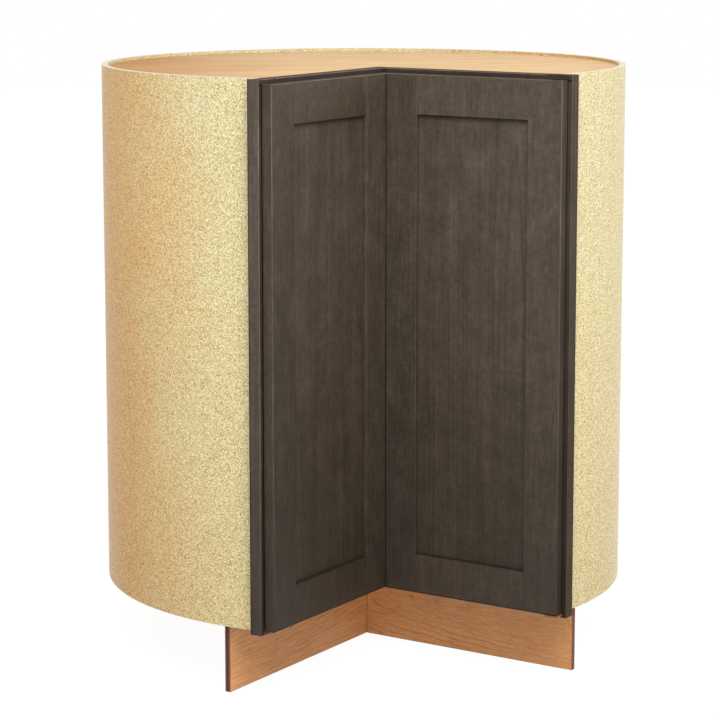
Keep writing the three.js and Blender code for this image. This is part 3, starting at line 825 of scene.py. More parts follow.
class Side(Enum):
    """The two doors: name, thickness axis, which way the front faces, and the outward end of its boxes."""

    LEFT = ("left", 0, 1, 0)
    RIGHT = ("right", 1, -1, 1)

    def __init__(self, label: str, across: int, front_sign: int, outward: int) -> None:
        """Names the parts of the value.

        Args:
            label: The door's name in the frame.
            across: The axis of its thickness, 0 for X and 1 for Y.
            front_sign: 1 where its front faces up that axis, and -1 where it faces down it.
            outward: 0 where it runs outward to lower coordinates, and 1 to higher ones.
        """
        self.label = label
        self.across = across
        self.front_sign = front_sign
        self.outward = outward


class Part(Enum):
    """The four boards of a door's frame, as the frame names them."""

    CORNER = "corner"
    OUTER = "outer"
    TOP = "top"
    BOTTOM = "bottom"


class Slot(IntEnum):
    """The material slots of a stained board."""

    BOARD = 0
    ARRIS = 1
    EDGE = 2
    # painted shadow lines
    POOLED = 3
    END = 4


class Palette:
    """All the finishes of the cabinet, built once."""

    skin: Material
    skin_inside: Material
    skin_edge: Material
    top: Material
    inside: Material
    inside_edge: Material
    toe_left: Material
    toe_right: Material
    toe_arris: Material
    ply: Material
    stain: Material
    boards: dict[tuple[Side, Part], Material]
    panels: dict[Side, Material]
    frame_arris: Material
    door_arris: Material
    edge_stain_and_shade: Material
    stain_end: Material
    shadow_paint: Material
    steel: Material
    bronze: Material
    plates: dict[str, Material]
    pale_plastic: Material
    dark_plastic: Material
    felt: Material

    def __init__(self) -> None:
        """Builds every finish."""
        self._raw_board()
        self._maple()
        self._toe_veneer()
        stain = {"dark": paint(59, 49, 38), "middle": paint(75, 64, 53), "pale": paint(93, 82, 70),
                 "line": paint(47, 39, 31), "gloss": 0.3, "streak": 0.4, "fibre": 0.5, "fibre_width": 0.0014,
                 "mottle": 0.65, "mottle_size": 0.007, "cloud": 0.4, "cloud_size": 0.034}
        self._stained_boards(stain)
        self._stained_panels(stain)
        self._stained_edges()
        self._metal()
        self._plastic()

    def _raw_board(self) -> None:
        """Builds the body's particleboard, outside, inside and on its sealed rim."""
        self.skin = Chipboard("raw_particleboard").build()
        # the inside takes painted shade, darker and warmer toward the right
        self.skin_inside = Chipboard(
            "raw_particleboard_inside", side_painted_shade=(1.0, 0.66, 0.4, 1.0), side_toward=RIGHT_FLANK,
            side_reach=(0.1, 0.36)).build()
        self.skin_edge = Moulded(
            "sealed_rim", base=paint(236, 223, 206), shade=paint(222, 206, 188),
            roughness=(0.5, 0.65), grain_size=0.0016).build()

    def _maple(self) -> None:
        """Builds the pale maple of the top, the shelves and their edges."""
        maple = {"streak_width": 0.02, "stretch": 30.0, "ring_width": 0.02, "ring_stretch": 16.0,
                 "rings": 0.3, "streak": 0.35, "mottle": 0.1, "cloud": 0.12, "line": paint(198, 148, 98),
                 "grain": Grain.DIAGONAL}
        top_figure = {**maple, "fibre": 1.25, "fibre_width": 0.004, "stretch": 44.0, "streak": 0.25}
        # the top takes painted shade, darker and warmer toward the left
        self.top = Wood(
            "maple_top", dark=paint(204, 161, 112), middle=paint(228, 192, 145), pale=paint(240, 211, 167),
            heart=(0.05, 0.12, 0.84), side_painted_shade=(0.72, 0.56, 0.4, 1.0), gloss=0.12, roughness=(0.62, 0.78),
            **top_figure).build()
        self.inside = Wood(
            "maple_shelf", dark=paint(214, 170, 118), middle=paint(230, 192, 144), pale=paint(240, 208, 164),
            heart=(-0.04, 0.03, 0.1), fibre=0.8, fibre_width=0.003, **maple).build()
        self.inside_edge = Wood(
            "maple_edge", dark=paint(196, 150, 100), middle=paint(216, 174, 124), pale=paint(230, 194, 146),
            rings=0.0).build()

    def _toe_veneer(self) -> None:
        """Builds the warm veneer of the toe boards, their arrises and the plywood's edge."""
        toe = {"dark": paint(192, 128, 75), "middle": paint(212, 150, 95), "pale": paint(226, 170, 115),
               "line": paint(150, 76, 40), "streak_width": 0.006, "fibre_width": 0.0015, "stretch": 14.0,
               "ring_width": 0.0058, "ring_stretch": 7.0, "ring_start": 0.74, "rings": 0.8, "streak": 0.35,
               "ring_wander": 7.0, "fibre": 0.85, "mottle": 0.5, "mottle_size": 0.004, "cloud": 0.25}
        self.toe_left = Wood(
            "toe_veneer_left", grain=Grain.ALONG_Y, heart=(-0.01, -0.42, 0.09), **toe).build()
        self.toe_right = Wood(
            "toe_veneer_right", tone=0.87, grain=Grain.ALONG_X, heart=(0.42, 0.012, 0.07), **toe).build()
        self.toe_arris = Wood(
            "toe_edge", dark=paint(96, 52, 32), middle=paint(122, 68, 42), pale=paint(146, 86, 54),
            stretch=8.0, rings=0.0).build()
        self.ply = PlyEdge("ply_edge").build()

    def _stained_boards(self, stain: dict[str, Any]) -> None:
        """Builds the taupe stain of the face frame, and of each board of the doors with its own tone, partly
        the board's own variation and partly painted shade.

        Args:
            stain: The fields that all the stained wood shares.
        """
        self.stain = Wood("taupe_stain", heart=(0.31, -0.13, 0.95), foot_painted_shade=FOOT_SHADE_ON_STAIN, **stain).build()
        fibres = {Side.LEFT: 0.75, Side.RIGHT: 0.5}
        # each board's tone and warmth: partly the board's own variation, partly painted shade that darkens
        # and warms the left door in the cabinet's corner
        rows = (
            (Side.LEFT, Part.OUTER, 0.78, 0.15, (0.1, -0.36, 0.6)),
            (Side.LEFT, Part.CORNER, 0.99, 0.02, (0.1, -0.11, 0.2)),
            (Side.LEFT, Part.TOP, 0.86, 0.13, (0.1, -0.26, 0.72)),
            (Side.LEFT, Part.BOTTOM, 0.82, 0.25, (0.1, -0.2, 0.3)),
            (Side.RIGHT, Part.OUTER, 1.03, 0.0, (0.37, -0.1, 0.4)),
            (Side.RIGHT, Part.CORNER, 0.89, 0.0, (0.11, -0.1, 0.7)),
            (Side.RIGHT, Part.TOP, 1.06, 0.0, (0.223, -0.1, 0.7)),
            (Side.RIGHT, Part.BOTTOM, 1.16, 0.0, (0.28, -0.1, 0.28)),
        )
        self.boards = {
            (side, part): Wood(
                f"taupe_{side.label}_{part.value}", tone=tone, tint=(1.0, 1.0 - warmth / 4, 1.0 - warmth),
                heart=heart, foot_painted_shade=FOOT_SHADE_ON_STAIN, **{**stain, "fibre": fibres[side]}).build()
            for side, part, tone, warmth, heart in rows
        }
        # painted shadow: near-black for the lines where shade falls behind the doors' edges, beside the left
        # stile's rear, along the doors' feet and in the seam between the doors
        self.shadow_paint = Wood(
            "shadow_paint", dark=paint(14, 11, 9), middle=paint(20, 16, 13), pale=paint(27, 22, 18),
            rings=0.0, gloss=0.2).build()

    def _stained_panels(self, stain: dict[str, Any]) -> None:
        """Builds the stain of the two door panels, with painted shadow round their recess.

        Args:
            stain: The fields that all the stained wood shares.
        """
        panel = {**stain, "foot_painted_shade": (0.32, 0.27, 0.19, 1.0), "ring_width": 0.008, "ring_stretch": 16.0,
                 "rings": 0.5, "streak_width": 0.015, "streak": 0.5, "fibre": 0.4}
        rows = (
            (Side.LEFT, (0.115, -0.22, 0.30), 1.07, 0.35),
            (Side.RIGHT, (0.316, -0.115, 0.52), 1.06, 0.9),
        )
        self.panels = {
            side: PanelWood(f"taupe_panel_{side.label}", heart=heart, tone=tone, side_shade=shade,
                            **self.recess(side), **panel).build()
            for side, heart, tone, shade in rows
        }

    def _stained_edges(self) -> None:
        """Builds the stain of the arrises, worn and made paler as painted highlight; the darker edge stain,
        real on the joints and painted shade on top faces, reveals and door edges; and the stain of the right
        end.
        """
        # the arrises are paler: partly worn stain, partly painted highlight where the eased edges catch the
        # light
        arris = {"dark": paint(76, 64, 52), "middle": paint(97, 84, 71), "pale": paint(120, 106, 91),
                 "rings": 0.0, "gloss": 0.3, "mottle": 0.8, "mottle_size": 0.02}
        matt = {"rings": 0.0, "gloss": 0.1, "roughness": (0.75, 0.9)}
        self.frame_arris = Wood("taupe_frame_arris", tone=1.1, foot_painted_shade=FOOT_SHADE_ON_STAIN, **arris).build()
        self.door_arris = Wood(
            "taupe_door_arris", tone=0.86, foot_painted_shade=(0.2, 0.18, 0.16, 1.0), **arris).build()
        # darker matt stain: real on the stile and rail joints, painted shade on top faces, reveals and the
        # doors' top and hinge edges
        self.edge_stain_and_shade = Wood(
            "taupe_stain_edge", dark=paint(54, 46, 38), middle=paint(66, 57, 48), pale=paint(79, 69, 59),
            foot_painted_shade=FOOT_SHADE_ON_STAIN, **matt).build()
        self.stain_end = Wood(
            "taupe_stain_end", dark=paint(56, 48, 40), middle=paint(70, 61, 52), pale=paint(88, 77, 67),
            foot_painted_shade=(0.72, 0.68, 0.64, 1.0), **matt).build()

    def _metal(self) -> None:
        """Builds the zinc, the bronze and the two finishes of the pivot plates."""
        self.steel = Metal("zinc_plate").build()
        self.bronze = Metal("dark_bronze", base=paint(54, 47, 40), worn=paint(46, 40, 34), metallic=0.1,
                            roughness=(0.6, 0.75), gloss=0.12).build()
        self.plates = {
            "top": Metal("brown_paint", base=paint(64, 55, 47), worn=paint(54, 46, 39), metallic=0.0,
                         roughness=(0.85, 0.95), gloss=0.02).build(),
            "bottom": Metal("dull_brass", base=paint(146, 102, 66), worn=paint(122, 84, 54), metallic=0.2,
                            roughness=(0.6, 0.75), gloss=0.15).build(),
        }

    def _plastic(self) -> None:
        """Builds the two plastics and the felt."""
        self.pale_plastic = Moulded("pale_plastic").build()
        self.dark_plastic = Moulded("dark_plastic", base=paint(48, 44, 41), shade=paint(40, 36, 33)).build()
        self.felt = Moulded("felt", base=paint(150, 143, 133), shade=paint(128, 121, 112),
                            roughness=(0.9, 1.0), grain_size=0.0004, relief_strength=0.5).build()

    @staticmethod
    def recess(side: Side) -> dict[str, Triple]:
        """Gives the middle and half size of a door's recess, with its corner side left open, so that no
        painted shadow falls there.

        Args:
            side: The door.

        Returns:
            The two fields that a PanelWood takes.
        """
        along = 1 - side.across
        foot = box_of(f"{side.label}_door_bottom_rail")[1].z
        crown = box_of(f"{side.label}_door_top_rail")[0].z
        corner = box_of(f"{side.label}_door_corner_stile")[side.outward]
        outer = box_of(f"{side.label}_door_outer_stile")[1 - side.outward]
        middle, half = Vector((0.0, 0.0, (foot + crown) / 2)), Vector((1.0, 1.0, (crown - foot) / 2))
        middle[along] = corner[along]
        half[along] = abs(corner[along] - outer[along])
        return {"middle_point": tuple(middle), "half_size": tuple(half)}


# --------------------------------------------------------------------------- modelling bench


class Lie(Enum):
    """Which way a round bar lies, with the turn that lays a new cylinder that way."""

    ALONG_Y = (math.pi / 2, 0.0, 0.0)
    UPRIGHT = (0.0, 0.0, 0.0)


class Joining(Enum):
    """What a second block does to a piece."""

    CUT = "DIFFERENCE"
    ADD = "UNION"


class Bench:
    """Modelling by hand: primitives shaped in edit mode and finished with modifiers."""

    @staticmethod
    def activate(piece: Piece) -> None:
        """Selects one object and nothing else.

        Args:
            piece: The object.
        """
        bpy.ops.object.select_all(action="DESELECT")
        piece.select_set(True)
        bpy.context.view_layer.objects.active = piece

    @staticmethod
    def settle(piece: Piece) -> Piece:
        """Puts a piece's place and size into its mesh, with its object at the origin.

        Args:
            piece: The piece.

        Returns:
            The piece.
        """
        Bench.activate(piece)
        bpy.ops.object.transform_apply(location=True, rotation=True, scale=True)
        return piece

    @staticmethod
    def block(name: str, low: Vector, high: Vector) -> Piece:
        """Adds a box between two corners.

        Args:
            name: The object's name.
            low: The lowest corner.
            high: The highest corner.

        Returns:
            The new object.
        """
        bpy.ops.object.select_all(action="DESELECT")
        bpy.ops.mesh.primitive_cube_add(size=1, location=(low + high) / 2, scale=high - low)
        piece = bpy.context.object
        piece.name = name
        piece.data.name = name
        return Bench.settle(piece)

    @staticmethod
    def drum(name: str, radius: float, centre: Vector, depth: float, sides: int,
             lie: Lie = Lie.UPRIGHT) -> Piece:
        """Adds a round bar or disc.

        Args:
            name: The object's name.
            radius: Its radius.
            centre: The middle of the bar.
            depth: Its length.
            sides: How many sides the circle has.
            lie: The way it lies.

        Returns:
            The new object.
        """
        bpy.ops.object.select_all(action="DESELECT")
        bpy.ops.mesh.primitive_cylinder_add(
            vertices=sides, radius=radius, depth=depth, location=centre, rotation=lie.value)
        piece = bpy.context.object
        piece.name = name
        piece.data.name = name
        return Bench.settle(piece)

    @staticmethod
    def combine(piece: Piece, other: Piece, joining: Joining) -> Piece:
        """Cuts or joins a piece with another one, which is used up.

        Args:
            piece: The piece that stays.
            other: The cutter or the addition.
            joining: Whether the other is cut away or added.

        Returns:
            The piece.
        """
        Bench.activate(piece)
        modifier = piece.modifiers.new("shape", "BOOLEAN")
        modifier.operation = joining.value
        modifier.solver = "EXACT"
        modifier.object = other
        bpy.ops.object.modifier_apply(modifier=modifier.name)
        mesh = other.data
        bpy.data.objects.remove(other)
        bpy.data.meshes.remove(mesh)
        return piece

    @staticmethod
    def cut(piece: Piece, *cutters: Piece) -> Piece:
        """Cuts a piece with each cutter in turn.

        Args:
            piece: The piece.
            *cutters: The cutters, which are used up.

        Returns:
            The piece.
        """
        for cutter in cutters:
            Bench.combine(piece, cutter, Joining.CUT)
        return piece

    @staticmethod
    def bisect(piece: Piece, place: Triple, way: Triple) -> None:
        """Splits a piece's faces along a plane, and leaves its shape as it is.

        Args:
            piece: The piece.
            place: A point on the plane.
            way: The plane's normal.
        """
        with Bench.faces(piece, lambda face: True):
            bpy.ops.mesh.bisect(plane_co=place, plane_no=way)

    @staticmethod
    @contextmanager
    def faces(piece: Piece, test: FaceTest) -> Iterator[None]:
        """Opens a piece in edit mode with the faces that pass a test selected.

        Args:
            piece: The piece to edit.
            test: Says whether a face is selected.

        Yields:
            Nothing; edit mode ends with the block.
        """
        Bench.activate(piece)
        bpy.ops.object.mode_set(mode="EDIT")
        bpy.ops.mesh.select_mode(type="FACE")
        bpy.ops.mesh.select_all(action="DESELECT")
        bpy.ops.object.mode_set(mode="OBJECT")
        for polygon in piece.data.polygons:
            polygon.select = test(polygon)
        bpy.ops.object.mode_set(mode="EDIT")
        yield
        bpy.ops.object.mode_set(mode="OBJECT")

    @staticmethod
    def ease(piece: Piece, test: EdgeTest, width: float, steps: int, slot: int) -> Piece:
        """Bevels the edges that pass a test.

        Args:
            piece: The piece to edit.
            test: Says from an edge's two ends whether it is bevelled.
            width: The bevel's width.
            steps: Its segments.
            slot: The material slot of the new faces.

        Returns:
            The piece.
        """
        Bench.activate(piece)
        bpy.ops.object.mode_set(mode="EDIT")
        bpy.ops.mesh.select_mode(type="EDGE")
        bpy.ops.mesh.select_all(action="DESELECT")
        bpy.ops.object.mode_set(mode="OBJECT")
        vertices = piece.data.vertices
        for edge in piece.data.edges:
            edge.select = test(*(vertices[index].co for index in edge.vertices))
        bpy.ops.object.mode_set(mode="EDIT")
        bpy.ops.mesh.bevel(offset=width, segments=steps, profile=0.5, affect="EDGES", material=slot)
        bpy.ops.object.mode_set(mode="OBJECT")
        return piece

    @staticmethod
    def soften(piece: Piece, width: float, steps: int = 2, slot: int = 0,
               angle: float = 50) -> Piece:
        """Rounds every sharp edge a little with a Bevel modifier.

        Args:
            piece: The piece.
            width: The rounding's width.
            steps: Its segments.
            slot: The material slot of the new faces, or -1 for that of the faces beside them.
            angle: Edges sharper than this many degrees are rounded.

        Returns:
            The piece.
        """
        Bench.activate(piece)
        modifier = piece.modifiers.new("soften", "BEVEL")
        modifier.width = width
        modifier.segments = steps
        modifier.limit_method = "ANGLE"
        modifier.angle_limit = math.radians(angle)
        modifier.material = slot
        modifier.use_clamp_overlap = True
        bpy.ops.object.modifier_apply(modifier=modifier.name)
        return piece

    @staticmethod
    def smooth(piece: Piece, angle: float = 30) -> Piece:
        """Shades round faces smooth and keeps sharper edges sharp.

        Args:
            piece: The piece.
            angle: Edges sharper than this many degrees are kept.

        Returns:
            The piece.
        """
        Bench.activate(piece)
        bpy.ops.object.shade_smooth_by_angle(angle=math.radians(angle))
        return piece

    @staticmethod
    def dress(piece: Piece, *materials: Material) -> Piece:
        """Gives a piece its material slots.

        Args:
            piece: The piece.
            *materials: Their materials, in order.

        Returns:
            The piece.
        """
        piece.data.materials.clear()
        for material in materials:
            piece.data.materials.append(material)
        return piece

    @staticmethod
    def paint_faces(piece: Piece, slot: int, test: FaceTest) -> None:
        """Puts the faces that pass a test in another material slot.

        Args:
            piece: The piece.
            slot: The slot.
            test: Says whether a face goes there.
        """
        for polygon in piece.data.polygons:
            if test(polygon):
                polygon.material_index = slot

    @staticmethod
    def copy_to(piece: Piece, name: str, place: Matrix) -> Piece:
        """Copies a piece with a mesh of its own and puts the copy's mesh in place.

        Args:
            piece: The piece to copy.
            name: The copy's name.
            place: How the copy lies from the piece.

        Returns:
            The copy.
        """
        twin = bpy.data.objects.new(name, piece.data.copy())
        twin.data.name = name
        bpy.context.scene.collection.objects.link(twin)
        twin.data.transform(place)
        return twin


def finish_piece(piece: Piece, body: str, slot: str, *nodes: str) -> Piece:
    """Hangs a finished piece on its body and hides the CAD nodes it replaces.

    Args:
        piece: The finished piece.
        body: The body it moves with.
        slot: The record's material slot of its finish; not used.
        *nodes: The CAD nodes it replaces.

    Returns:
        The piece.
    """
    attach(piece, body)
    if nodes:
        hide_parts(*nodes)
    LOG.info("%s: %d faces on %s", piece.name, len(piece.data.polygons), body)
    return piece


def keep_node(name: str, material: Material) -> None:
    """Keeps a CAD node as it is and gives it a better material.

    Args:
        name: The node's name.
        material: The material for every slot.
    """
    node = frame["nodes"][name]
    for slot in node.material_slots:
        slot.material = material
    LOG.info("%s: kept with %s", name, material.name)


# --------------------------------------------------------------------------- the cabinet


@dataclass
class Body:
    """The round body: skin, top and bottom panels, base and glue blocks."""

    palette: Palette
    skin_thickness: float = 9.5 * MM
    sides: int = 256
    rim_ease: float = 0.7 * MM
    board_ease: float = 0.4 * MM
    toe_ease: float = 0.8 * MM
    notch_gap: float = 0.3 * MM
    notch_reach: float = 0.5
    skin_past: float = 0.1
    axis: Vector = field(default_factory=lambda: joint_place("carousel_spin"))

    def build(self) -> None:
        """Builds and dresses every piece of the body."""
        self.skin()
        self.panel("top_panel", "maple_top_panel", self.palette.top)
        self.panel("bottom_panel", "maple_bottom_panel", self.palette.inside)
        self.toe_board("toe_kick_left", 1, self.palette.toe_left)
        self.toe_board("toe_kick_right", 0, self.palette.toe_right)
        for node in ("rear_runner_back", "rear_runner_side", "left_skin_cleat", "right_skin_cleat",
                     "top_corner_block", "bottom_corner_block"):
            self.batten(node)

    def _disc(self, name: str, radius: float, low: float, high: float) -> Piece:
        """Adds a fine round block about the carousel's axis between two heights."""
        centre = Vector((self.axis.x, self.axis.y, (low + high) / 2))
        return Bench.drum(name, radius, centre, high - low, self.sides)

    def _notch(self, corner: Vector, low: float, high: float) -> Piece:
        """Adds the block that cuts the square notch out of a round piece.

        Args:
            corner: The notch's inside corner, seen from above.
            low: The lowest height it cuts.
            high: The highest height it cuts.

        Returns:
            The cutter.
        """
        near = Vector((corner.x, corner.y - self.notch_reach, low))
        return Bench.block("notch", near, Vector((corner.x + self.notch_reach, corner.y, high)))

    def _notch_corner(self) -> Vector:
        """Gives the inside corner of the notch in the panels, from the frame's back faces."""
        left, right = box_of("left_stile")[0], box_of("right_stile")[1]
        return Vector((left.x - self.notch_gap, right.y + self.notch_gap))

    def skin(self) -> None:
        """Builds the bent particleboard sheet with its sealed rim."""
        low, high = box_of("barrel_skin")
        radius = high.y - self.axis.y
        under, over = low.z - self.skin_past, high.z + self.skin_past
        sheet = self._disc("particleboard_skin", radius, low.z, high.z)
        hollow = self._disc("hollow", radius - self.skin_thickness, under, over)
        Bench.cut(sheet, hollow, self._notch(self._notch_corner(), under, over))
        Bench.dress(sheet, self.palette.skin, self.palette.skin_edge, self.palette.skin_inside)
        Bench.paint_faces(sheet, 1, lambda face: face.normal.z > FLAT)
        Bench.paint_faces(sheet, 2, self._faces_axis)
        Bench.soften(sheet, self.rim_ease, 2, -1)
        Bench.smooth(sheet)
        finish_piece(sheet, "cabinet", "particleboard", "barrel_skin")

    def _faces_axis(self, face: Face) -> bool:
        """Says whether a face of the skin is on its inside."""
        return face.normal.xy.dot(face.center.xy - self.axis.xy) < -LEANING

    def panel(self, node: str, name: str, material: Material) -> None:
        """Builds a round panel with the notch cut out.

        Args:
            node: The CAD node it replaces.
            name: The piece's name.
            material: Its finish.
        """
        low, high = box_of(node)
        board = self._disc(name, high.y - self.axis.y, low.z, high.z)
        Bench.cut(board, self._notch(self._notch_corner(), low.z - PAST, high.z + PAST))
        Bench.dress(board, material, self.palette.ply)
        Bench.paint_faces(board, 1, lambda face: abs(face.normal.z) < LEVEL)
        Bench.soften(board, self.board_ease, 2, -1)
        Bench.smooth(board)
        finish_piece(board, "cabinet", "maple", node)

    def toe_board(self, node: str, along: int, veneer: Material) -> None:
        """Builds one toe board: veneered face, dark arris and ply end grain.

        Args:
            node: The CAD node it replaces.
            along: The axis the board runs along, 0 for X and 1 for Y.
            veneer: The face's finish.
        """
        low, high = box_of(node)
        board = Bench.block(f"{node}_board", low, high)
        if along == 1:
            turn, start = 0.0, low.x
        else:
            turn, start = math.radians(-90), -high.y
        edge = PlyEdge(f"{node}_ends", turn=(0.0, 0.0, turn), start=start).build()
        Bench.dress(board, veneer, self.palette.toe_arris, edge)
        Bench.paint_faces(board, 2, lambda face: abs(face.normal[along]) > FLAT)
        Bench.paint_faces(board, 1, lambda face: abs(face.normal.z) > FLAT)
        Bench.soften(board, self.toe_ease, 2, 1)
        finish_piece(board, "cabinet", "toe_veneer", node)

    def batten(self, node: str) -> None:
        """Builds a plain board of the base, a cleat or a glue block, with eased edges.

        Args:
            node: The CAD node it replaces.
        """
        board = Bench.block(f"{node}_board", *box_of(node))
        Bench.dress(board, self.palette.inside_edge)
        Bench.soften(board, self.board_ease, 2)
        finish_piece(board, "cabinet", "plywood", node)


@dataclass
class FaceFrame:
    """The stained stiles and rails round the two doors."""

    palette: Palette
    ease: float = 1.0 * MM
    plate: float = 2.5 * MM
    seat: float = 0.3 * MM
    shadow_line: float = 2.3 * MM
    rear_line: float = 2.0 * MM

    def __post_init__(self) -> None:
        """Finds the outline that the two doors cover."""
        left, right = box_of("left_door_outer_stile"), box_of("right_door_outer_stile")
        self.left_end, self.right_end = left[0].y, right[1].x
        self.foot, self.crown = left[0].z, left[1].z
        self.rear = box_of("left_stile")[0].x

    def build(self) -> None:
        """Builds the two stiles and four rails."""
        for node in ("left_stile", "right_stile", "top_rail_left", "top_rail_right",
                     "bottom_rail_left", "bottom_rail_right"):
            self.member(node)

    def member(self, node: str) -> None:
        """Builds one stile or rail with eased, slightly paler arrises, painted shade on its reveal and top,
        and painted shadow lines.

        Args:
            node: The CAD node it replaces.
        """
        timber = Bench.block(f"{node}_timber", *box_of(node))
        if node == "right_stile":
            Bench.cut(timber, *(self._mortise(place) for place in ("top", "bottom")))
        self._split_at_doors(timber)
        finishes = self.palette
        Bench.dress(timber, finishes.stain, finishes.frame_arris, finishes.edge_stain_and_shade, finishes.shadow_paint,
                    finishes.stain_end)
        Bench.soften(timber, self.ease, 2, Slot.ARRIS)
        left = "left" in node
        Bench.paint_faces(timber, Slot.EDGE, lambda face: self._at_joint(face, node))
        # painted shade on the frame's top faces and on the reveal round the doors
        Bench.paint_faces(timber, Slot.EDGE, lambda face: face.normal.z > FLAT or self._in_reveal(face, left))
        # painted shadow lines behind the doors' edges and on the left stile's rear corner
        Bench.paint_faces(timber, Slot.POOLED, lambda face: self._in_shadow_line(face, left))
        Bench.paint_faces(timber, Slot.END, self._on_right_end)
        finish_piece(timber, "cabinet", "dark_stain", node)

    def _split_at_doors(self, timber: Piece) -> None:
        """Cuts a member's faces along the doors' outline, the shadow lines and the rear line, so that the
        reveal's painted shade and the painted shadow lines can be coloured apart.

        Args:
            timber: The member.
        """
        for inset in (0.0, self.shadow_line):
            for place, way in (((0, self.left_end + inset, 0), (0, 1, 0)),
                               ((self.right_end - inset, 0, 0), (1, 0, 0)),
                               ((0, 0, self.foot + inset), UP), ((0, 0, self.crown - inset), UP)):
                Bench.bisect(timber, place, way)
        Bench.bisect(timber, (self.rear + self.rear_line, 0, 0), (1, 0, 0))

    def _on_right_end(self, face: Face) -> bool:
        """Says whether a face is the right stile's outer end."""
        return face.normal.x > FLAT and face.center.x > self.right_end

    @staticmethod
    def _at_joint(face: Face, node: str) -> bool:
        """Says whether a face is an eased edge where a stile and a rail meet.

        Args:
            face: The face.
            node: The CAD node of its member.

        Returns:
            True at both ends of a rail, and on a stile's side toward the cabinet's corner.
        """
        side = Side.LEFT if "left" in node else Side.RIGHT
        toward_corner = face.normal[1 - side.across] * side.front_sign
        return abs(toward_corner) > LEANING if "rail" in node else toward_corner > LEANING

    def _in_reveal(self, face: Face, left: bool) -> bool:
        """Says whether a face shows round the closed doors.

        Args:
            face: The face.
            left: Whether its member is in the frame's left leg.

        Returns:
            True on the front outside the doors' outline.
        """
        if left:
            return face.normal.x > FLAT and (face.center.y < self.left_end or face.center.z > self.crown)
        return face.normal.y < -FLAT and (face.center.x > self.right_end or face.center.z > self.crown)

    def _in_shadow_line(self, face: Face, left: bool) -> bool:
        """Says whether a face is in the painted shadow line just behind a door's edge, or on the left stile's
        rear corner.

        Args:
            face: The face.
            left: Whether its member is in the frame's left leg.

        Returns:
            True where the painted shadow line is drawn.
        """
        reach = self.shadow_line
        if left and face.normal.y < -LEANING and face.center.x < self.rear + self.rear_line:
            return True
        if left:
            beside = self.left_end < face.center.y < self.left_end + reach
            front = face.normal.x > FLAT
        else:
            beside = self.right_end - reach < face.center.x < self.right_end
            front = face.normal.y < -FLAT
        above = self.crown - reach < face.center.z < self.crown
        return front and (above or (beside and self.foot < face.center.z < self.crown))

    def _mortise(self, place: str) -> Piece:
        """Adds the cutter for a pivot plate's mortise, from the plate's own place.

        Args:
            place: top or bottom.

        Returns:
            The cutter.
        """
        low, high = box_of(f"{place}_pivot_plate")
        if place == "top":
            low.z = high.z - self.plate
        else:
            high.z = low.z + self.plate
        seat = Vector((self.seat,) * 3)
        return Bench.block("mortise", low - seat, high + seat)


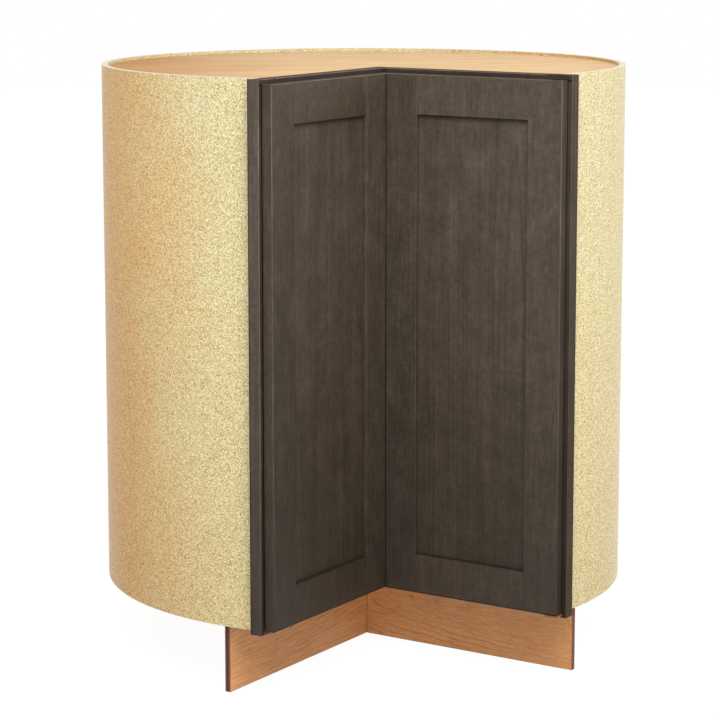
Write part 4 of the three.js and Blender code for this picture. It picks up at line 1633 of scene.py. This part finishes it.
@dataclass
class DoorLeaf:
    """One five-piece door: two stiles, two rails and a flat panel in grooves."""

    palette: Palette
    side: Side
    seat: float = 0.3 * MM
    groove_room: float = 1.0 * MM
    arris: float = 1.1 * MM
    ease: float = 0.35 * MM
    ease_angle: float = 60
    seam_width: float = 0.8 * MM
    foot_line: float = 1.7 * MM
    edge_depth: float = 1.0 * MM
    groove_past: float = 0.1
    front_lean: float = 0.3
    tiny: float = 0.02 * MM
    bore_sides: int = 32

    def __post_init__(self) -> None:
        """Works out the door's axes and its outside edges."""
        self.label, self.across = self.side.label, self.side.across
        self.along = 1 - self.across
        self.body = f"{self.label}_door"
        self.panel_low, self.panel_high = box_of(f"{self.label}_door_panel")
        corners = [box_of(f"{self.label}_door_{part}_stile") for part in ("corner", "outer")]
        self.low = Vector([min(corner[0][axis] for corner in corners) for axis in range(3)])
        self.high = Vector([max(corner[1][axis] for corner in corners) for axis in range(3)])
        self.front = (self.high if self.side.front_sign > 0 else self.low)[self.across]

    def build(self) -> None:
        """Builds and dresses the five pieces."""
        for part in (Part.CORNER, Part.OUTER):
            self.stile(part)
        for part in (Part.TOP, Part.BOTTOM):
            self.rail(part)
        self.centre_panel()

    def _groove(self, full: int) -> Piece:
        """Adds the cutter for the panel's groove.

        Args:
            full: The axis along which the groove runs right through.

        Returns:
            The cutter.
        """
        low, high = self.panel_low.copy(), self.panel_high.copy()
        low[self.across] -= self.seat
        high[self.across] += self.seat
        for axis in (self.along, 2):
            room = self.groove_past if axis == full else self.groove_room
            low[axis] -= room
            high[axis] += room
        return Bench.block("groove", low, high)

    def _on_outside_arris(self, first: Vector, second: Vector) -> bool:
        """Says whether an edge lies on the front face and on the door's outline.

        Args:
            first: One end of the edge.
            second: Its other end.

        Returns:
            True where the edge gets the wider bevel.
        """
        def level(axis: int, height: float) -> bool:
            """Says whether both ends are at a height along an axis."""
            return all(abs(end[axis] - height) < self.tiny for end in (first, second))

        outline = (level(self.along, self.low[self.along]) or level(self.along, self.high[self.along])
                   or level(2, self.low.z) or level(2, self.high.z))
        return outline and level(self.across, self.front)

    def _in_foot_line(self, face: Face) -> bool:
        """Says whether a face is in the painted shade line along the front's lower edge."""
        toward_front = face.normal[self.across] * self.side.front_sign
        return toward_front > self.front_lean and face.center.z < self.low.z + self.foot_line

    def _on_dark_edge(self, face: Face) -> bool:
        """Says whether a face is on the door's top edge, or on the right door's hinge edge.

        Args:
            face: The face.

        Returns:
            True where the darker edge stain goes as painted shade.
        """
        if face.normal.z > FLAT and face.center.z > self.high.z - self.edge_depth:
            return True
        at_hinge = face.normal.x > FLAT and face.center.x > self.high.x - self.edge_depth
        return self.side is Side.RIGHT and at_hinge

    def _finish_timber(self, piece: Piece, node: str, part: Part) -> None:
        """Bevels, eases and dresses a stile or rail.

        Args:
            piece: The stile or rail.
            node: The CAD node it replaces.
            part: Which board of the door it is.
        """
        Bench.bisect(piece, (0, 0, self.low.z + self.foot_line), UP)
        finishes = self.palette
        Bench.dress(piece, finishes.boards[self.side, part], finishes.door_arris, finishes.edge_stain_and_shade,
                    finishes.shadow_paint)
        Bench.ease(piece, self._on_outside_arris, self.arris, 2, Slot.ARRIS)
        Bench.soften(piece, self.ease, 1, Slot.ARRIS, self.ease_angle)
        # painted shade on the door's top edge and the right door's hinge edge
        Bench.paint_faces(piece, Slot.EDGE, self._on_dark_edge)
        # painted shade along the foot of the front
        Bench.paint_faces(piece, Slot.POOLED, self._in_foot_line)
        finish_piece(piece, self.body, "dark_stain", node)

    def stile(self, part: Part) -> None:
        """Builds a stile with its groove, and the pivot bores in the hinge stile.

        Args:
            part: The corner stile or the outer one.
        """
        node = f"{self.label}_door_{part.value}_stile"
        piece = Bench.block(f"{node}_timber", *box_of(node))
        Bench.cut(piece, self._groove(2))
        if self.side is Side.RIGHT and part is Part.OUTER:
            Bench.cut(piece, *(self._bore(place) for place in ("top", "bottom")))
        seamed = self.side is Side.RIGHT and part is Part.CORNER
        if seamed:
            Bench.bisect(piece, (self._seam(), 0, 0), (1, 0, 0))
        self._finish_timber(piece, node, part)
        if seamed:
            # painted shadow line in the seam beside the left door's edge
            Bench.paint_faces(piece, Slot.POOLED, self._in_seam)

    def _seam(self) -> float:
        """Gives how far the painted shadow line reaches from behind the left door's edge."""
        return box_of("left_door_corner_stile")[1].x + self.seam_width

    def _in_seam(self, face: Face) -> bool:
        """Says whether a face is in the painted shadow line beside the left door's edge."""
        return face.normal.y < -FLAT and face.center.x < self._seam()

    def _bore(self, place: str) -> Piece:
        """Adds the cutter for a pivot bush's bore, round the bush's own place.

        Args:
            place: top or bottom.

        Returns:
            The cutter.
        """
        low, high = box_of(f"{place}_pivot_bush")
        radius = (high.x - low.x) / 2 + self.seat
        depth = high.z - low.z + 2 * self.seat
        return Bench.drum("bore", radius, (low + high) / 2, depth, self.bore_sides)

    def rail(self, part: Part) -> None:
        """Builds a rail with its groove and stub tenons.

        Args:
            part: The top rail or the bottom one.
        """
        node = f"{self.label}_door_{part.value}_rail"
        low, high = box_of(node)
        edges = sorted(
            box_of(f"{self.label}_door_{name}_stile")[end][self.along]
            for name, end in (("corner", self.side.outward), ("outer", 1 - self.side.outward))
        )
        tenon_low, tenon_high = low.copy(), high.copy()
        low[self.along], high[self.along] = edges[0] + self.seat, edges[1] - self.seat
        piece = Bench.block(f"{node}_timber", low, high)
        Bench.cut(piece, self._groove(self.along))
        tenon_low[self.across] = self.panel_low[self.across]
        tenon_high[self.across] = self.panel_high[self.across]
        if part is Part.TOP:
            tenon_low.z = self.panel_high.z + self.groove_room
        else:
            tenon_high.z = self.panel_low.z - self.groove_room
        Bench.combine(piece, Bench.block("tenon", tenon_low, tenon_high), Joining.ADD)
        self._finish_timber(piece, node, part)

    def centre_panel(self) -> None:
        """Builds the flat panel with eased edges."""
        node = f"{self.label}_door_panel"
        piece = Bench.block(f"{node}_board", self.panel_low, self.panel_high)
        Bench.dress(piece, self.palette.panels[self.side])
        Bench.soften(piece, self.ease, 2)
        finish_piece(piece, self.body, "dark_stain", node)


@dataclass
class Screws:
    """Countersunk cross-head screws, modelled once and copied."""

    palette: Palette
    head: float = 3.2 * MM
    height: float = 0.7 * MM
    border: float = 0.5 * MM
    crown: float = 0.2 * MM
    cross_length: float = 3.4 * MM
    cross_width: float = 0.7 * MM
    cross_depth: float = 0.05 * MM
    sides: int = 24
    smooth_angle: float = 35
    count: int = 0

    def model(self) -> Piece:
        """Models the head at the origin, with its top facing +Z.

        Returns:
            The head to copy.
        """
        head = Bench.drum("screw_pattern", self.head, Vector((0, 0, 0)), self.height, self.sides)
        with Bench.faces(head, lambda face: face.normal.z > FLAT):
            bpy.ops.mesh.inset(thickness=self.border)
            bpy.ops.transform.translate(value=(0, 0, self.crown))
        length, width = self.cross_length / 2, self.cross_width / 2
        for half_x, half_y in ((length, width), (width, length)):
            low = Vector((-half_x, -half_y, -self.cross_depth))
            Bench.cut(head, Bench.block("cross", low, Vector((half_x, half_y, self.height * 2))))
        Bench.dress(head, self.palette.steel)
        return Bench.smooth(head, self.smooth_angle)

    def place(self, pattern: Piece, spots: list[Vector], facing: Vector, body: str) -> None:
        """Sets a screw at each spot.

        Args:
            pattern: The modelled head.
            spots: Where each head's seat lies.
            facing: The way the heads face.
            body: The body they move with.
        """
        turn = facing.to_track_quat("Z", "Y").to_matrix().to_4x4()
        for spot in spots:
            self.count += 1
            screw = Bench.copy_to(pattern, f"screw_{self.count:02d}", Matrix.Translation(spot) @ turn)
            finish_piece(screw, body, "steel")


@dataclass
class Hardware:
    """Pivots, fold hinges, catch, strike and bumpers."""

    palette: Palette
    screws: Screws
    leaf_thickness: float = 1.6 * MM
    screw_sink: float = 0.1 * MM
    screw_rise: float = 20 * MM
    screw_shift: float = 0.12
    catch_border: float = 2.0 * MM
    catch_recess: float = 1.0 * MM
    catch_ease: float = 0.4 * MM
    pole_rises: Span = (0.3, 0.7)
    pole_depth: float = 12 * MM
    pole_inset: float = 4 * MM
    pole_sink: float = 0.2 * MM
    pole_half: float = 0.8 * MM
    pole_ease: float = 0.2 * MM

    def build(self, pattern: Piece) -> None:
        """Dresses the metalwork and sets its screws.

        Args:
            pattern: The screw head to copy.
        """
        for place in ("top", "bottom"):
            keep_node(f"{place}_pivot_plate", self.palette.plates[place])
            keep_node(f"{place}_pivot_bush", self.palette.bronze)
            keep_node(f"{place}_bumper", self.palette.felt)
        for place in ("upper", "lower"):
            keep_node(f"{place}_fold_hinge_pin", self.palette.steel)
            self.leaf(f"{place}_fold_hinge_left_leaf", "left_door", pattern)
            self.leaf(f"{place}_fold_hinge_right_leaf", "right_door", pattern)
        self.catch()

    def leaf(self, node: str, body: str, pattern: Piece) -> None:
        """Keeps a hinge leaf and sets three screws down its plate.

        Args:
            node: The leaf's node.
            body: The door it is on.
            pattern: The screw head to copy.
        """
        keep_node(node, self.palette.bronze)
        low, high = box_of(node)
        knuckle = joint_place("left_door_fold")
        plate_far = low.y if body == "left_door" else high.y
        spot_y = (plate_far + knuckle.y) / 2 + (plate_far - knuckle.y) * self.screw_shift
        face_x = high.x - self.leaf_thickness - self.screw_sink
        middle = (low.z + high.z) / 2
        rises = (-self.screw_rise, 0, self.screw_rise)
        spots = [Vector((face_x, spot_y, middle + rise)) for rise in rises]
        self.screws.place(pattern, spots, Vector((-1, 0, 0)), body)

    def catch(self) -> None:
        """Builds the magnetic catch with its two pole plates, and keeps the strike."""
        low, high = box_of("magnet_catch")
        case = Bench.block("magnet_catch_case", low, high)
        Bench.dress(case, self.palette.dark_plastic)
        with Bench.faces(case, lambda face: face.normal.x > FLAT):
            bpy.ops.mesh.inset(thickness=self.catch_border)
            bpy.ops.mesh.extrude_region_move(TRANSFORM_OT_translate={"value": (-self.catch_recess, 0, 0)})
        Bench.soften(case, self.catch_ease, 2)
        finish_piece(case, "cabinet", "dark_plastic", "magnet_catch")
        for number, rise in enumerate(self.pole_rises, 1):
            middle = low.z + (high.z - low.z) * rise
            pole_low = Vector((high.x - self.pole_depth, low.y + self.pole_inset, middle - self.pole_half))
            pole_high = Vector((high.x - self.pole_sink, high.y - self.pole_inset, middle + self.pole_half))
            pole = Bench.block(f"catch_pole_{number}", pole_low, pole_high)
            Bench.dress(pole, self.palette.steel)
            Bench.soften(pole, self.pole_ease, 2)
            finish_piece(pole, "cabinet", "steel")
        keep_node("strike_plate", self.palette.steel)


@dataclass
class Carousel:
    """The turning part: shaft, two pie-cut shelves with rims and fences, and their hubs."""

    palette: Palette
    screws: Screws
    sides: int = 192
    floor_ease: float = 0.4 * MM
    edge_ease: float = 1.0 * MM
    rim_thickness: float = 3.2 * MM
    rim_gap: float = 0.3 * MM
    notch_reach: float = 0.5
    hole_radius: float = 15.7 * MM
    hole_sides: int = 64
    flange_radius: float = 56 * MM
    flange_thickness: float = 4 * MM
    flange_sides: int = 96
    flange_screw_circle: float = 42 * MM
    collar_radius: float = 22 * MM
    hub_bore: float = 13.0 * MM
    hub_bore_sides: int = 48
    hub_ease: float = 0.6 * MM
    hub_smooth_angle: float = 35
    screw_hole_radius: float = 3.3 * MM
    screw_hole_length: float = 24 * MM
    screw_hole_sides: int = 24
    screw_seat: float = 0.3 * MM
    rib_length: float = 24 * MM
    rib_half: float = 1.5 * MM
    rib_overlap: float = 1.0 * MM
    rib_sink: float = 0.2 * MM
    rib_share: float = 0.7
    rib_toe: float = 2 * MM
    rib_ease: float = 0.4 * MM
    bearing_flange: float = 3 * MM
    bearing_screw_circle: float = 31 * MM

    def build(self, pattern: Piece) -> None:
        """Builds both shelves and dresses the shaft and bearings.

        Args:
            pattern: The screw head to copy.
        """
        self.axis = joint_place("carousel_spin")
        for level in ("lower", "upper"):
            self.floor(level)
            self.rim(level)
            for side in Side:
                self.fence(level, side)
            self.hub(level, pattern)
            keep_node(f"{level}_hub_screw", self.palette.steel)
            keep_node(f"{level}_shaft", self.palette.steel)
        keep_node("height_collar", self.palette.steel)
        keep_node("thrust_washer", self.palette.pale_plastic)
        self.bearings(pattern)

    def _round(self, name: str, radius: float, low: float, high: float, sides: int) -> Piece:
        """Adds a round block about the carousel's axis between two heights."""
        centre = Vector((self.axis.x, self.axis.y, (low + high) / 2))
        return Bench.drum(name, radius, centre, high - low, sides)

    def _notch(self, inset: float, low: float, high: float) -> Piece:
        """Adds the cutter for a shelf's notch.

        Args:
            inset: How far the cut reaches behind the fences' fronts.
            low: The lowest height it cuts.
            high: The highest height it cuts.

        Returns:
            The cutter.
        """
        corner_x = box_of("lower_shelf_left_fence")[1].x - inset
        corner_y = box_of("lower_shelf_right_fence")[0].y + inset
        near = Vector((corner_x, corner_y - self.notch_reach, low))
        return Bench.block("notch", near, Vector((corner_x + self.notch_reach, corner_y, high)))

    def floor(self, level: str) -> None:
        """Builds a shelf's floor with its notch and shaft hole.

        Args:
            level: lower or upper.
        """
        node = f"{level}_shelf"
        low, high = box_of(node)
        under, over = low.z - PAST, high.z + PAST
        board = self._round(f"{node}_floor", high.y - self.axis.y, low.z, high.z, self.sides)
        Bench.cut(board, self._notch(self.rim_thickness + self.rim_gap, under, over),
                  self._round("hole", self.hole_radius, under, over, self.hole_sides))
        Bench.dress(board, self.palette.inside, self.palette.ply)
        Bench.paint_faces(board, 1, lambda face: abs(face.normal.z) < LEVEL)
        Bench.soften(board, self.floor_ease, 2, -1)
        Bench.smooth(board)
        finish_piece(board, "carousel", "maple", node)

    def rim(self, level: str) -> None:
        """Builds a shelf's bent rim with a rounded top edge.

        Args:
            level: lower or upper.
        """
        node = f"{level}_shelf_rim"
        low, high = box_of(node)
        radius = high.y - self.axis.y
        under, over = low.z - PAST, high.z + PAST
        band = self._round(f"{node}_band", radius, low.z, high.z, self.sides)
        hollow = self._round("hollow", radius - self.rim_thickness, under, over, self.sides)
        Bench.cut(band, hollow, self._notch(0.0, under, over))
        Bench.dress(band, self.palette.inside_edge)
        Bench.soften(band, self.edge_ease, 3, -1)
        Bench.smooth(band)
        finish_piece(band, "carousel", "maple", node)

    def fence(self, level: str, side: Side) -> None:
        """Builds one straight fence along a shelf's notch.

        Args:
            level: lower or upper.
            side: The notch's side.
        """
        node = f"{level}_shelf_{side.label}_fence"
        board = Bench.block(f"{node}_board", *box_of(node))
        Bench.dress(board, self.palette.inside_edge)
        Bench.soften(board, self.edge_ease, 3)
        finish_piece(board, "carousel", "maple", node)

    def hub(self, level: str, pattern: Piece) -> None:
        """Builds a flanged hub with four ribs and sets its flange screws.

        Args:
            level: lower or upper.
            pattern: The screw head to copy.
        """
        node = f"{level}_hub"
        low, high = box_of(node)
        flange_top = low.z + self.flange_thickness
        hub = self._round(f"{node}_moulding", self.flange_radius, low.z, flange_top, self.flange_sides)
        with Bench.faces(hub, lambda face: face.normal.z > FLAT):
            bpy.ops.mesh.inset(thickness=self.flange_radius - self.collar_radius)
            rise = high.z - low.z - self.flange_thickness
            bpy.ops.mesh.extrude_region_move(TRANSFORM_OT_translate={"value": (0, 0, rise)})
        bore = self._round("bore", self.hub_bore, low.z - PAST, high.z + PAST, self.hub_bore_sides)
        screw_low, screw_high = box_of(f"{level}_hub_screw")
        screw_hole = Bench.drum("screw_hole", self.screw_hole_radius, (screw_low + screw_high) / 2,
                                self.screw_hole_length, self.screw_hole_sides, Lie.ALONG_Y)
        Bench.cut(hub, bore, screw_hole)
        Bench.dress(hub, self.palette.pale_plastic)
        Bench.soften(hub, self.hub_ease, 2, -1)
        Bench.smooth(hub, self.hub_smooth_angle)
        finish_piece(hub, "carousel", "pale_plastic", node)
        for index in range(4):
            self.rib(f"{level}_hub_rib_{index + 1}", 45 + 90 * index, flange_top, high.z)
        spots = self._four_spots(self.flange_screw_circle, 0, flange_top + self.screw_seat)
        self.screws.place(pattern, spots, Vector(UP), "carousel")

    def _four_spots(self, radius: float, start: float, height: float) -> list[Vector]:
        """Gives four evenly spaced points on a circle about the axis.

        Args:
            radius: The circle's radius.
            start: The first point's angle in degrees.
            height: Their height.

        Returns:
            The points.
        """
        middle, spoke = Vector((self.axis.x, self.axis.y, height)), Vector((radius, 0, 0))
        return [middle + Matrix.Rotation(math.radians(start + 90 * index), 3, "Z") @ spoke
                for index in range(4)]

    def rib(self, name: str, degrees: float, low: float, high: float) -> None:
        """Builds one sloping rib between a hub's flange and collar.

        Args:
            name: The rib's name.
            degrees: The way it points from the axis.
            low: The flange's top.
            high: The collar's top.
        """
        start = self.collar_radius - self.rib_overlap
        height = (high - low) * self.rib_share
        rib = Bench.block(name, Vector((start, -self.rib_half, low - self.rib_sink)),
                          Vector((start + self.rib_length, self.rib_half, low + height)))
        for vertex in rib.data.vertices:
            if vertex.co.x > start + self.rib_length / 2 and vertex.co.z > low + height / 2:
                vertex.co.z = low + self.rib_toe
        Bench.dress(rib, self.palette.pale_plastic)
        Bench.soften(rib, self.rib_ease, 2)
        turn = Matrix.Rotation(math.radians(degrees), 4, "Z")
        rib.data.transform(Matrix.Translation(Vector((self.axis.x, self.axis.y, 0))) @ turn)
        finish_piece(rib, "carousel", "pale_plastic")

    def bearings(self, pattern: Piece) -> None:
        """Keeps the two bearings and sets the screws in their flanges.

        Args:
            pattern: The screw head to copy.
        """
        keep_node("bottom_bearing", self.palette.steel)
        keep_node("top_bearing", self.palette.steel)
        seat = self.bearing_flange + self.screw_seat
        for height, facing in ((box_of("bottom_bearing")[0].z + seat, UP),
                               (box_of("top_bearing")[1].z - seat, DOWN)):
            spots = self._four_spots(self.bearing_screw_circle, 45, height)
            self.screws.place(pattern, spots, Vector(facing), "cabinet")


# --------------------------------------------------------------------------- the studio


@dataclass(frozen=True)
class Lamp:
    """A square soft lamp that points at the cabinet's middle."""

    name: str
    place: Triple
    size: float
    power: float

    def hang(self, target: Triple) -> None:
        """Adds the lamp.

        Args:
            target: The point it is turned to.
        """
        data = bpy.data.lights.new(self.name, "AREA")
        data.size = self.size
        data.energy = self.power
        lamp = bpy.data.objects.new(self.name, data)
        lamp.location = self.place
        lamp.rotation_euler = (Vector(target) - Vector(self.place)).to_track_quat("-Z", "Y").to_euler()
        bpy.context.scene.collection.objects.link(lamp)


@dataclass
class Studio:
    """Floor, light and the camera at the photograph's place."""

    lens: float = 125.59
    sensor: float = 36.0
    camera_place: Triple = (2.0475, -3.1608, 1.1036)
    camera_heading: float = 33.046
    camera_tilt: float = 8.581
    camera_shift: float = -0.1
    floor_radius: float = 12.0
    floor_sides: int = 96
    floor_colour: Colour = (0.6, 0.6, 0.6, 1.0)
    floor_glow: float = 1.15
    floor_glow_share: float = 0.82
    ambient: float = 0.42
    target: Triple = (0.0, 0.0, 0.45)
    lamps: tuple[Lamp, ...] = (
        Lamp("key_softbox", (5.5, -6.26, 9.3), 8.0, 1265),
        Lamp("low_fill", (2.1, -3.0, 0.5), 1.4, 34),
        Lamp("right_fill", (3.2, 2.7, 1.4), 2.2, 60),
        Lamp("left_fill", (-3.4, -1.2, 1.2), 2.2, 20),
        Lamp("back_fill", (-2.2, 3.4, 0.42), 0.8, 36),
    )

    def build(self) -> None:
        """Sets up the world, the floor, the lamps and the camera."""
        bpy.context.scene.view_settings.view_transform = "Standard"
        self.world()
        self.floor()
        for lamp in self.lamps:
            lamp.hang(self.target)
        self.camera()

    @staticmethod
    def _seen_white(art: Canvas) -> Any:
        """Finds the rays that see the plain background: the camera's, mirrored and transmitted ones.

        Args:
            art: The canvas of a material or a world.

        Returns:
            A socket that is 1 for such rays.
        """
        path = art.add("LightPath")
        seen = art.calc("ADD", path.outputs["Is Camera Ray"], path.outputs["Is Glossy Ray"], True)
        return art.calc("ADD", seen, path.outputs["Is Transmission Ray"], True)

    def world(self) -> None:
        """Lights evenly, and shows white to the camera and in reflections."""
        world = bpy.data.worlds.new("studio")
        bpy.context.scene.world = world
        world.use_nodes = True
        art = Canvas(world.node_tree)
        light = world.node_tree.nodes["Background"]
        light.inputs["Color"].default_value = WHITE
        light.inputs["Strength"].default_value = self.ambient
        white = art.add("Background", {"Color": WHITE, "Strength": 1.0})
        mix = art.add("MixShader", {0: self._seen_white(art), 1: light.outputs[0], 2: white.outputs[0]})
        art.feed(world.node_tree.nodes["World Output"].inputs["Surface"], mix.outputs[0])

    def floor(self) -> None:
        """Adds a white floor that keeps a soft shadow under the cabinet."""
        bpy.ops.object.select_all(action="DESELECT")
        bpy.ops.mesh.primitive_circle_add(
            vertices=self.floor_sides, radius=self.floor_radius, fill_type="NGON"
        )
        floor = Bench.settle(bpy.context.object)
        floor.name = "studio_floor"
        material = bpy.data.materials.new("studio_white")
        material.use_nodes = True
        art = Canvas(material.node_tree)
        shader = material.node_tree.nodes["Principled BSDF"]
        shader.inputs["Base Color"].default_value = self.floor_colour
        shader.inputs["Roughness"].default_value = 1.0
        glow = art.add("Emission", {"Color": WHITE, "Strength": self.floor_glow})
        share = art.calc("MULTIPLY", self._seen_white(art), self.floor_glow_share)
        mix = art.add("MixShader", {0: share, 1: shader.outputs[0], 2: glow.outputs[0]})
        art.feed(material.node_tree.nodes["Material Output"].inputs["Surface"], mix.outputs[0])
        Bench.dress(floor, material)

    def camera(self) -> None:
        """Places the camera, fitted to the photograph's edges."""
        data = bpy.data.cameras.new("photo_camera")
        data.lens = self.lens
        data.sensor_width = self.sensor
        data.shift_y = self.camera_shift
        camera = bpy.data.objects.new("photo_camera", data)
        camera.location = self.camera_place
        camera.rotation_euler = (math.radians(90 - self.camera_tilt), 0.0, math.radians(self.camera_heading))
        bpy.context.scene.collection.objects.link(camera)
        bpy.context.scene.camera = camera


# --------------------------------------------------------------------------- putting it together


def main() -> None:
    """Builds the cabinet piece by piece."""
    logging.basicConfig(level=logging.INFO, format="%(name)s: %(message)s")
    palette = Palette()
    screws = Screws(palette)
    pattern = screws.model()
    Body(palette).build()
    FaceFrame(palette).build()
    for side in Side:
        DoorLeaf(palette, side).build()
    Hardware(palette, screws).build(pattern)
    Carousel(palette, screws).build(pattern)
    bpy.data.objects.remove(pattern)
    Studio().build()


if __name__ == "__main__":
    main()
